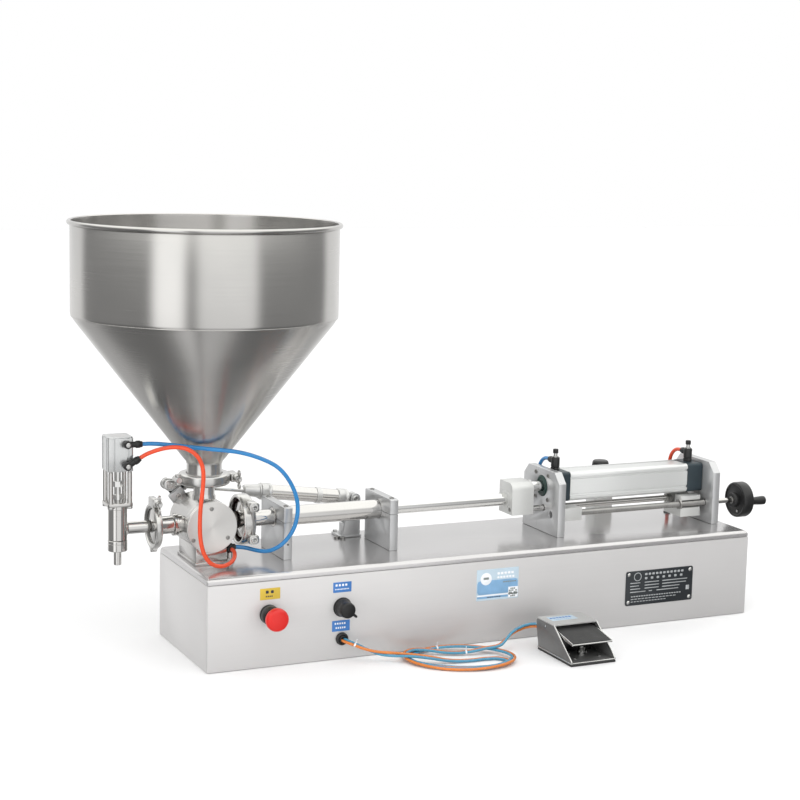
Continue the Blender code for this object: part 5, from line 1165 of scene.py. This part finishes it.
block.turn([(0, 0), (0.0132, 0), (0.0132, 0.0012), (0.0124, 0.0018), (0, 0.0018)],
           at(BLOCK0 + 0.0002, 0.1140, 0.1880), -ACROSS, "block", 64)
block.turn([(0, 0), (0.0110, 0), (0.0110, 0.0024), (0.0100, 0.0030), (0, 0.0030)],
           at(BLOCK1 - 0.0002, 0.1120, 0.2050), ACROSS, "block", 64)
block.done("piston", "aluminium", "coupling_block")
stop_rod = Shape("stroke_stop_rod")
stop_rod.bar(at(BLOCK1 - 0.002, 0.1060, 0.1715), at(0.8215, 0.1060, 0.1715), 0.0045, "steel_x",
             0.0006, 48)
for x in (0.8116, 0.8162):
    stop_rod.nut(at(x, 0.1060, 0.1715), ACROSS, 0.0064, 0.0042, "screw")
stop_rod.nut(at(BLOCK1 + 0.0002, 0.1060, 0.1715), ACROSS, 0.0070, 0.0045, "bright")
stop_rod.screw_head(at(BLOCK0 + 0.0002, 0.1000, 0.1735), -ACROSS, 0.0034, 0.0010, "screw")
stop_rod.done("piston", "chrome")

# ---------------------------------------------------------------- end plates and air cylinder
AIR = at(0, 0.1120, 0.2050)


def end_plate(name, node, holes, slot):
    low, high = reach(node)
    x0, x1 = low.x, low.x + 0.0128
    made = Shape(name)
    loop = [(low.y, low.z), (high.y, low.z), (high.y, high.z - 0.0150), (high.y - 0.0140, high.z),
            (low.y + 0.0150, high.z), (low.y, high.z - 0.0160)]
    made.plate([loop, *[circle(*hole) for hole in holes]], x0, x1, "YZ", "plate", 0.0006)
    return made, x0, x1


front, x0, x1 = end_plate("front_end_plate", "front_plate",
                          [(0.1120, 0.2050, 0.0165), (0.0820, 0.1650, 0.0056),
                           (0.1060, 0.1715, 0.0052)], "aluminium")
front.block((x1 - 0.0010, 0.0720, 0.1550), (0.6360, 0.0960, 0.1750), "block", 0.0008)
front.done("machine", "aluminium", "front_plate")
rear, rx0, rx1 = end_plate("rear_end_plate", "rear_plate", [(0.0820, 0.1650, 0.0056)], "aluminium")
rear.turn([(0.0053, 0), (0.0082, 0), (0.0082, 0.0016), (0.0076, 0.0022), (0.0053, 0.0022)],
          at(rx1 - 0.0002, 0.0820, 0.1650), ACROSS, "screw", 48, ring=True)
rear.done("machine", "aluminium", "rear_plate")
plate_bolts = Shape("end_plate_bolts")
for y in (0.0930, 0.1310):
    for z in (0.1860, 0.2240):
        plate_bolts.screw_head(at(x0 + 0.0003, y, z), -ACROSS, 0.0036, 0.0016, "screw")
        plate_bolts.screw_head(at(rx1 - 0.0003, y, z), ACROSS, 0.0036, 0.0016, "screw")
for x in (x0, rx0):
    for y in (0.0730, 0.1550):
        plate_bolts.screw_head(at(x + 0.0064, y, 0.2325 - 0.0125), UP, 0.0001, 0.0001, "screw")
plate_bolts.done("machine", "chrome")
seals = Shape("rod_seal")
seals.turn([(0.0084, 0.0010), (0.0162, 0.0010), (0.0162, -0.0002), (0.0150, -0.0010),
            (0.0136, -0.0010), (0.0128, 0.0), (0.0100, 0.0), (0.0092, -0.0010), (0.0084, -0.0006)],
           AIR + ACROSS * x0, ACROSS, "green", 72, ring=True)
seals.done("machine", "black_rubber")

for name, node in (("air_cylinder_front_cap", "air_front_cap"),
                   ("air_cylinder_rear_cap", "air_rear_cap")):
    low, high = reach(node)
    start = max(low.x, x1 + 0.0003)
    made = Shape(name)
    made.plate([rounded(low.y, low.z, high.y, high.z, 0.0050)], start, high.x, "YZ", "cap", 0.0010)
    made.turn([(0, 0), (0.0160, 0), (0.0160, 0.0050), (0, 0.0050)], AIR + ACROSS * (start - 0.0040),
              ACROSS, "cap", 48)
    made.done("machine", "dark_cap", node)
low, high = reach("air_profile")
HALF = 0.0230
quarter = []
for u, v in ((-0.0152, 0.0), (-0.0146, 0.0020), (-0.0120, 0.0022), (-0.0112, 0.0007),
             (0.0112, 0.0007), (0.0120, 0.0022), (0.0146, 0.0020), (0.0152, 0.0)):
    quarter.append((u, v - HALF))
quarter += arc(HALF - 0.0062, -HALF + 0.0062, 0.0062, -90, 0, 10)
loop = []
for turn in range(4):
    c, s = cos(turn * pi / 2), sin(turn * pi / 2)
    loop += [(0.1120 + u * c - v * s, 0.2050 + u * s + v * c) for u, v in quarter]
profile = Shape("air_cylinder_profile")
profile.plate([loop], low.x, high.x, "YZ", "profile", 0.0003)
profile.done("machine", "aluminium", "air_profile")

for end, x in (("front", 0.6085), ("rear", 0.8545)):
    fitting = Shape(end + "_flow_valve")
    fitting.turn([(0, 0.2282), (0.0062, 0.2282, HEX), (0.0062, 0.2330, HEX), (0.0060, 0.2334),
                  (0.0068, 0.2344), (0.0068, 0.2478), (0.0062, 0.2486), (0.0044, 0.2490),
                  (0.0044, 0.2495), (0, 0.2495)], at(x, 0.1120, 0), UP, "black", 48)
    fitting.turn([(0, 0), (0.0046, 0), (0.0046, 0.0090), (0.0052, 0.0096), (0.0052, 0.0140),
                  (0.0044, 0.0146), (0.0044, 0.0170), (0.0032, 0.0171), (0, 0.0171)],
                 at(x, 0.1120, 0.2430), BACK, "black", 48)
    fitting.turn([(0.0030, 0.2493), (0.0050, 0.2493), (0.0050, 0.2505), (0.0030, 0.2505)],
                 at(x, 0.1120, 0), UP, "bright", 40, ring=True)
    fitting.done("machine", "black_plastic", end + "_speed_valve")
    knob = Shape(end + "_flow_knob")
    knob.turn([(0, 0.2506), (0.0030, 0.2506), (0.0030, 0.2558), (0, 0.2558)], at(x, 0.1120, 0),
              UP, "bright", 40)
    knob.turn([(0, 0.2552), (0.0040, 0.2552), (0.0042, 0.2556, 12), (0.0042, 0.2608, 12),
               (0.0036, 0.2617), (0.0014, 0.2620), (0, 0.2620)], at(x, 0.1120, 0), UP, "black", 48)
    knob.done(end + "_speed_screw", "black_plastic", end + "_speed_valve_knob")

# ---------------------------------------------------------------- stroke adjustment
THREAD = (0.6010, 0.8690)
PITCH, DEPTH = 0.0030, 0.0009
SCREW_AXIS = at(0, 0.0820, 0.1650)
SCREW_R = 0.0050
spindle = Shape("adjusting_spindle")
part = bmesh.new()
SIDES, PER_TURN = 24, 4
count = int((THREAD[1] - THREAD[0]) / PITCH * PER_TURN)
rows = []
for i in range(count + 1):
    x = THREAD[0] + (THREAD[1] - THREAD[0]) * i / count
    row = []
    for k in range(SIDES):
        angle = 2 * pi * k / SIDES
        phase = ((x - THREAD[0]) / PITCH - k / SIDES) % 1.0
        r = SCREW_R - DEPTH * abs(2 * phase - 1)
        row.append(part.verts.new(SCREW_AXIS + Vector((x, r * cos(angle), r * sin(angle)))))
    rows.append(row)
for a, b in zip(rows, rows[1:]):
    for k in range(SIDES):
        m = (k + 1) % SIDES
        part.faces.new((a[k], a[m], b[m], b[k]))
part.faces.new(rows[0][::-1])
part.faces.new(rows[-1])
spindle.merge(part, "screw")
spindle.turn([(0, 0.8685), (0.0048, 0.8685), (0.0048, 0.8830), (0.0042, 0.8836),
              (0.0042, 0.9300), (0, 0.9300)], SCREW_AXIS, ACROSS, "steel_x", 60)
spindle.done("adjuster", "cast_steel", "adjusting_screw")

WHEEL = 0.9285
wheel = Shape("stroke_handwheel")
wheel.turn([(0.0044, 0.0195), (0.0104, 0.0195), (0.0118, 0.0188), (0.0128, 0.0150),
            (0.0150, 0.0136), (0.0205, 0.0136), (0.0225, 0.0146), (0.0236, 0.0172),
            (0.0246, 0.0188), (0.0262, 0.0192), (0.0278, 0.0184), (0.0285, 0.0166),
            (0.0285, 0.0034), (0.0280, 0.0014), (0.0262, 0.0002), (0.0244, 0.0006),
            (0.0234, 0.0018), (0.0140, 0.0022), (0.0122, 0.0014), (0.0118, -0.0050),
            (0.0110, -0.0060), (0.0044, -0.0060)], SCREW_AXIS + ACROSS * WHEEL, ACROSS, "black", 96,
           ring=True)
wheel.bar(at(WHEEL + 0.010, 0.0635, 0.1650), at(WHEEL + 0.0200, 0.0635, 0.1650), 0.0030, "bright")
wheel.done("adjuster", "black_plastic", "handwheel")
set_screw = Shape("handwheel_set_screw")
set_screw.turn([(0, 0), (0.0020, 0), (0.0020, 0.0010), (0.0010, 0.0012, HEX), (0.0010, 0.0002, HEX),
                (0, 0.0002)], SCREW_AXIS + Vector((WHEEL + 0.0016, -0.0075, -0.0175)), -ACROSS,
               "bright", 36)
set_screw.turn([(0.0044, 0), (0.0058, 0), (0.0058, 0.0006), (0.0044, 0.0006)],
               SCREW_AXIS + ACROSS * (WHEEL - 0.0064), ACROSS, "screw", 40, ring=True)
set_screw.done("adjuster", "chrome")
grip = Shape("crank_handle")
grip.turn([(0.0030, 0.0200), (0.0056, 0.0200), (0.0066, 0.0212), (0.0062, 0.0250),
           (0.0066, 0.0320), (0.0070, 0.0400), (0.0068, 0.0440), (0.0056, 0.0453),
           (0.0032, 0.0454), (0, 0.0454)], at(WHEEL, 0.0635, 0.1650), ACROSS, "black", 60)
grip.done("grip", "black_plastic", "crank_grip")

carriage = Shape("stop_saddle")
carriage.plate([[(0.0795, 0.1445), (0.1280, 0.1445), (0.1280, 0.1780), (0.1146, 0.1780),
                 (0.1146, 0.1686), *arc(0.1060, 0.1686, 0.0086, 0, -180, 12)[1:-1],
                 (0.0974, 0.1686), (0.0974, 0.1780), (0.0795, 0.1780),
                 (0.0795, 0.1712), *arc(0.0824, 0.1650, 0.0062, 90, -90, 14),
                 (0.0795, 0.1588)]],
               0.8235, 0.8605, "YZ", "block", 0.0006)
carriage.done("stop", "aluminium", "stop_carriage")
saddle = Shape("stop_saddle_screws")
for x in (0.8310, 0.8530):
    saddle.screw_head(at(x, 0.1213, 0.1777), UP, 0.0030, 0.0014, "screw")
saddle.turn([(0.0052, 0), (0.0076, 0, HEX), (0.0076, 0.0034, HEX), (0.0052, 0.0034)],
            SCREW_AXIS + ACROSS * 0.8202, ACROSS, "screw", 36, ring=True)
saddle.done("stop", "chrome")

# ---------------------------------------------------------------- valve actuator
PIVOT = at(0.2954, ACTUATOR_Y, 0.1928)
PIN = at(0.0340 + CRANK_LENGTH * cos(CRANK_ANGLE), ACTUATOR_Y,
         0.1880 + CRANK_LENGTH * sin(CRANK_ANGLE))
REACH = hypot(PIN.x - PIVOT.x, PIN.z - PIVOT.z)
TILT = atan2(PIN.z - PIVOT.z, PIVOT.x - PIN.x)
lean = Matrix.Translation(PIVOT) @ Matrix.Rotation(TILT, 4, BACK)
to_local = lean @ Matrix.Translation(-CORNER)
ZERO = Vector((0, 0, 0))

tube = Shape("valve_cylinder_barrel")
tube.frame = lean
tube.turn([(0.0088, 0.0285), (0.0110, 0.0285), (0.0110, 0.1380), (0.0088, 0.1380)], ZERO, -ACROSS,
          "steel_x", 96, ring=True)
for start, end in ((0.0120, 0.0290), (0.1375, 0.1540)):
    tube.turn([(0, start), (0.0118, start), (0.0126, start + 0.0008), (0.0126, start + 0.0046),
               (0.0122, start + 0.0052), (0.0126, start + 0.0058), (0.0126, end - 0.0010),
               (0.0118, end), (0, end)], ZERO, -ACROSS, "grey_cap", 72)
tube.turn([(0, 0.1535), (0.0112, 0.1535), (0.0112, 0.1560), (0.0100, 0.1572), (0.0092, 0.1640),
           (0.0088, 0.1720), (0.0080, 0.1790), (0.0070, 0.1800), (0, 0.1800)], ZERO, -ACROSS,
          "grey_cap", 64)
tube.frame = to_local
tube.plate([[(-0.0140, -0.0078), *arc(0.0, 0.0, 0.0078, -90, 90, 18), (-0.0140, 0.0078)],
            circle(0, 0, 0.0034)], -0.0040, 0.0040, "XZ", "grey_cap", 0.0008)
tube.done("actuator", "aluminium", "actuator_barrel")
rings = Shape("valve_cylinder_sensor_band")
rings.frame = lean
rings.turn([(0.0111, 0.0560), (0.0119, 0.0560), (0.0119, 0.0640), (0.0111, 0.0640)], ZERO, -ACROSS,
           "grey_cap", 64, ring=True)
rings.done("actuator", "aluminium")

plunger = Shape("valve_cylinder_rod")
plunger.frame = lean
plunger.turn([(0, 0.1180), (0.0084, 0.1180), (0.0084, 0.1290), (0.0040, 0.1290),
              (0.0040, REACH - 0.0200), (0, REACH - 0.0200)], ZERO, -ACROSS, "chrome", 60)
plunger.done("actuator_plunger", "chrome", "actuator_rod")
fork = Shape("valve_cylinder_fork")
fork.frame = to_local
for y0, y1 in ((-0.0088, -0.0047), (0.0047, 0.0088)):
    fork.plate([[*arc(-REACH, 0.0, 0.0080, 90, 270, 16), (-REACH + 0.0225, -0.0080),
                 (-REACH + 0.0225, 0.0080)]], y0, y1, "XZ", "bright", 0.0008)
fork.plate([rounded(-REACH + 0.0162, -0.0080, -REACH + 0.0225, 0.0080, 0.0010)], -0.0088, 0.0088,
           "XZ", "grey_cap", 0.0008)
fork.frame = lean
fork.nut(Vector((-REACH + 0.0226, 0, 0)), ACROSS, 0.0062, 0.0050, "bright")
fork.done("actuator_plunger", "chrome")
fork_pin = Shape("valve_cylinder_fork_pin")
fork_pin.frame = lean
fork_pin.turn([(0, 0), (0.0046, 0), (0.0046, 0.0016), (0.0040, 0.0022), (0.0026, 0.0022),
               (0.0026, 0.0010), (0, 0.0010)], Vector((-REACH, -0.0088, 0)), -BACK, "bright", 48)
fork_pin.turn([(0.0028, 0), (0.0080, 0), (0.0084, 0.0006), (0.0080, 0.0012), (0.0028, 0.0012)],
              Vector((-REACH, 0.0090, 0)), BACK, "bright", 60, ring=True)
fork_pin.done("actuator_plunger", "chrome")

bracket = Shape("actuator_foot")
bracket.plate([rounded(0.2700, 0.1680, 0.3060, 0.2040, 0.0030)], 0.1338, 0.1372, "XY", "plate",
              0.0006)
for y in (0.1692, 0.1828):
    bracket.plate([[(0.2739, 0.1350), (0.3034, 0.1350), (0.3034, 0.1928),
                    *arc(0.2954, 0.1928, 0.0080, 0, 180, 16)[1:]]], y, y + 0.0040, "XZ", "plate",
                  0.0006)
bracket.plate([rounded(0.2742, 0.1350, 0.3030, 0.1560, 0.0010)], 0.1728, 0.1832, "XZ", "plate",
              0.0006)
bracket.done("machine", "cabinet_steel", "actuator_bracket")
foot_bolts = Shape("actuator_foot_bolts")
for x in (0.2750, 0.3010):
    foot_bolts.turn([(0, 0), (0.0036, 0), (0.0036, 0.0006), (0.0030, 0.0006, HEX),
                     (0.0030, 0.0030, HEX), (0, 0.0032)], at(x, 0.1987, 0.1371), UP, "bright", 36)
for x in (0.2730,):
    foot_bolts.screw_head(at(x + 0.0, 0.1645, 0.1336), UP, 0.0040, 0.0030, "screw")
    foot_bolts.screw_head(at(x - 0.0070, 0.1720, 0.1336), UP, 0.0040, 0.0030, "screw")
foot_bolts.screw_head(at(0.2954, 0.1692, 0.1928), -BACK, 0.0052, 0.0024, "bright")
foot_bolts.nut(at(0.2954, 0.1868, 0.1928), BACK, 0.0046, 0.0030, "bright")
foot_bolts.done("machine", "chrome")

# ---------------------------------------------------------------- regulator behind the cabinet
RX, RY = 0.7660, 0.2335
regulator = Shape("air_regulator")
regulator.plate([rounded(RX - 0.0170, RY - 0.0170, RX + 0.0170, RY + 0.0170, 0.0045)], 0.1250,
                0.1690, "XY", "block", 0.0016)
regulator.turn([(0, 0.1680), (0.0140, 0.1680), (0.0140, 0.1700), (0.0120, 0.1712),
                (0.0120, 0.1850), (0, 0.1850)], at(RX, RY, 0), UP, "black", 64)
regulator.turn([(0, 0.1260), (0.0145, 0.1260), (0.0148, 0.1180), (0.0140, 0.0760),
                (0.0122, 0.0670), (0.0080, 0.0650), (0.0036, 0.0650), (0, 0.0652)],
               at(RX, RY, 0), UP, "block", 64)
regulator.block((RX - 0.012, CABINET_END.y + 0.0002, 0.0850), (RX + 0.012, RY - 0.0150, 0.1290),
                "plate", 0.0008)
regulator.turn([(0, 0), (0.0090, 0), (0.0094, 0.0006), (0.0094, 0.0040), (0.0086, 0.0050),
                (0, 0.0050)], at(RX, RY + 0.0165, 0.1480), BACK, "bright", 64)
regulator.turn([(0, 0), (0.0078, 0), (0.0078, 0.0003), (0, 0.0003)], at(RX, RY + 0.0214, 0.1480),
               BACK, "white", 48)
regulator.done("machine", "black_plastic", "regulator_body")
knob = Shape("regulator_cap")
knob.turn([(0, 0.1852), (0.0130, 0.1856), (0.0138, 0.1862), (0.0142, 0.1880, 16),
           (0.0142, 0.2030, 16), (0.0136, 0.2080), (0.0126, 0.2112), (0.0108, 0.2125), (0, 0.2125)],
          at(RX, RY, 0), UP, "black", 96)
knob.done("regulator_dial", "black_plastic", "regulator_knob")

# ---------------------------------------------------------------- foot pedal
PX0, PX1 = 0.4917, 0.5645
PBACK, PTOE, PTOP, PCREST = -0.0570, -0.1540, 0.0470, -0.1010
SHEET = 0.0016
OVERHANG = 0.0090
TOE_IN = PTOE + 0.0013
pedal = Shape("pedal_body")
for x in (PX0, PX1 - SHEET):
    pedal.plate([[(PBACK, 0.0030), (PBACK, 0.0060), (PBACK + OVERHANG, PTOP - 0.0040),
                  (PBACK + OVERHANG - 0.0040, PTOP), (PCREST + 0.002, PTOP),
                  (TOE_IN + 0.0040, 0.0095), (TOE_IN, 0.0060), (TOE_IN, 0.0030)]],
                x, x + SHEET, "YZ", "pedal", 0.0004)
pedal.block((PX0, TOE_IN, 0.0022), (PX1, PBACK, 0.0050), "pedal", 0.0006)
pedal.plate([[(PBACK - 0.0016, 0.0030), (PBACK, 0.0030), (PBACK, 0.0060),
              (PBACK + OVERHANG, PTOP - 0.0040), (PBACK + OVERHANG - 0.0018, PTOP - 0.0040),
              (PBACK - 0.0016, 0.0062)]], PX0 + 0.001, PX1 - 0.001, "YZ", "pedal", 0.0002)
pedal.done("machine", "pedal_paint", "pedal_housing")
top = Shape("pedal_cover")
REAR = PBACK + OVERHANG
top.plate([[(REAR - 0.0016, PTOP - 0.0110), (REAR + 0.0002, PTOP - 0.0040),
            (REAR - 0.0040, PTOP + 0.0001), (PCREST, PTOP + 0.0001), (PCREST, PTOP - 0.0016),
            (REAR - 0.0046, PTOP - 0.0018), (REAR - 0.0018, PTOP - 0.0050),
            (REAR - 0.0034, PTOP - 0.0110)]],
          PX0 - 0.0002, PX1 + 0.0002, "YZ", "pedal_top", 0.0003)
top.done("machine", "pedal_paint")
sole = Shape("pedal_sole")
sole.block((PX0 - 0.0006, PTOE + 0.0002, 0.0), (PX1 + 0.0006, PBACK + 0.0002, 0.0026), "rubber",
           0.0008)
sole.done("machine", "black_rubber")
trim = Shape("pedal_edges")
for x in (PX0 + SHEET / 2, PX1 - SHEET / 2):
    trim.tube([at(x, PCREST + 0.002, PTOP - 0.0003), at(x, TOE_IN + 0.0040, 0.0097),
               at(x, TOE_IN + 0.0001, 0.0060), at(x, TOE_IN + 0.0001, 0.0036)], 0.0012, "bright",
              12)
trim.tube([at(PX0, TOE_IN + 0.0002, 0.0042), at(PX1, TOE_IN + 0.0002, 0.0042)], 0.0011, "bright",
          12)
for x in (PX0 - 0.0001, PX1 + 0.0001):
    trim.tube([at(x, TOE_IN + 0.0002, 0.0040), at(x, PBACK, 0.0040)], 0.0009, "bright", 12)
trim.done("machine", "pedal_paint")
inside = Shape("pedal_mechanism")
middle = (PX0 + PX1) / 2
inside.turn([(0, 0.0046), (0.0062, 0.0046), (0.0062, 0.0070), (0.0045, 0.0074), (0.0045, 0.0176),
             (0.0038, 0.0182), (0, 0.0182)], at(middle, -0.1180, 0), UP, "bright", 40)
coil_points = [at(middle, -0.1180, 0.0076) + Vector((0.0058 * cos(a), 0.0058 * sin(a),
                                                    0.0090 * a / (10 * pi)))
               for a in (10 * pi * k / 90 for k in range(91))]
inside.tube(coil_points, 0.0006, "bright", 8)
inside.bar(at(PX0 - 0.0006, -0.0760, 0.0390), at(PX1 + 0.0006, -0.0760, 0.0390), 0.0017, "bright")
for x, y in ((PX0 + 0.016, -0.1350), (PX1 - 0.016, -0.1350), (PX0 + 0.022, -0.1080),
             (PX1 - 0.022, -0.1080)):
    inside.screw_head(at(x, y, 0.0049), UP, 0.0026, 0.0014, "bright")
inside.block((PX0 + 0.008, -0.0990, 0.0050), (PX1 - 0.008, -0.0700, 0.0240), "black", 0.0015)
inside.done("machine", "pedal_paint")
tread = Shape("pedal_plate")
HINGE_Y, HINGE_Z = -0.0760, 0.0390
TX0, TX1 = PX0 + 0.0034, PX1 - 0.0034
tread.plate([[*arc(HINGE_Y, HINGE_Z, 0.0036, 90, -90, 10), (-0.0960, HINGE_Z - 0.0012),
              (-0.1460, 0.0283), (-0.1482, 0.0292), (-0.1482, 0.0304), (-0.1462, 0.0312),
              (-0.0960, HINGE_Z + 0.0012)]], TX0, TX1, "YZ", "pedal", 0.0004)
slope_y, slope_z = (-0.0500), (0.0312 - HINGE_Z - 0.0012)
for k in range(17):
    s = k / 16
    y, z = -0.0990 + slope_y * s * 0.92, HINGE_Z + 0.0012 + slope_z * (s * 0.92 + 0.06)
    tread.bar(at(TX0 + 0.003, y, z), at(TX1 - 0.003, y, z), 0.0010, "rubber", 0.0003, 12)
tread.plate([[(-0.0975, HINGE_Z + 0.0008), (-0.1468, 0.0309), (-0.1468, 0.0318),
              (-0.0975, HINGE_Z + 0.0019)]], TX0 + 0.002, TX1 - 0.002, "YZ", "rubber", 0.0002)
for x in (TX0, TX1 - 0.0014):
    tread.plate([[(-0.0790, HINGE_Z + 0.0030), (-0.0960, HINGE_Z + 0.0022), (-0.1476, 0.0318),
                  (-0.1482, 0.0280), (-0.0960, HINGE_Z - 0.0040), (-0.0800, HINGE_Z - 0.0044)]],
                x, x + 0.0014, "YZ", "bright", 0.0003)
tread.tube([at(TX0, -0.1480, 0.0296), at(TX1, -0.1480, 0.0296)], 0.0011, "bright", 12)
tread.done("tread", "pedal_paint", "pedal_tread")
pedal_label = Shape("pedal_label")
pedal_label.plate([rounded(PX0 + 0.010, -0.0800, PX1 - 0.020, -0.0600, 0.0008)], PTOP,
                  PTOP + 0.0003, "XY", "pale_blue", 0.0001)
for a, c in dashes(0.012, 0.050, 0.0040, 0.0012):
    pedal_label.plate([rounded(PX0 + a, -0.0700, PX0 + c, -0.0650, 0.0006)], PTOP + 0.0002,
                      PTOP + 0.00042, "XY", "blue", 0.00005)
for a, c in dashes(0.014, 0.046, 0.0022, 0.0012):
    pedal_label.plate([rounded(PX0 + a, -0.0770, PX0 + c, -0.0750, 0.0003)], PTOP + 0.0002,
                      PTOP + 0.00042, "XY", "sky", 0.00005)
pedal_label.done("machine", "pedal_paint")
entry = Shape("pedal_hose_entry")
for z in (0.0279, 0.0321):
    entry.turn([(0, 0), (0.0029, 0), (0.0031, 0.0004), (0.0030, 0.0050), (0.0024, 0.0060),
                (0, 0.0060)], at(0.5045, -0.0528, z), BACK, "black", 32)
entry.done("machine", "black_plastic")

# The control valves inside the cabinet are the frame's own piece.
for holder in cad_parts["control_valve_block"].material_slots:
    holder.material = M["block"]
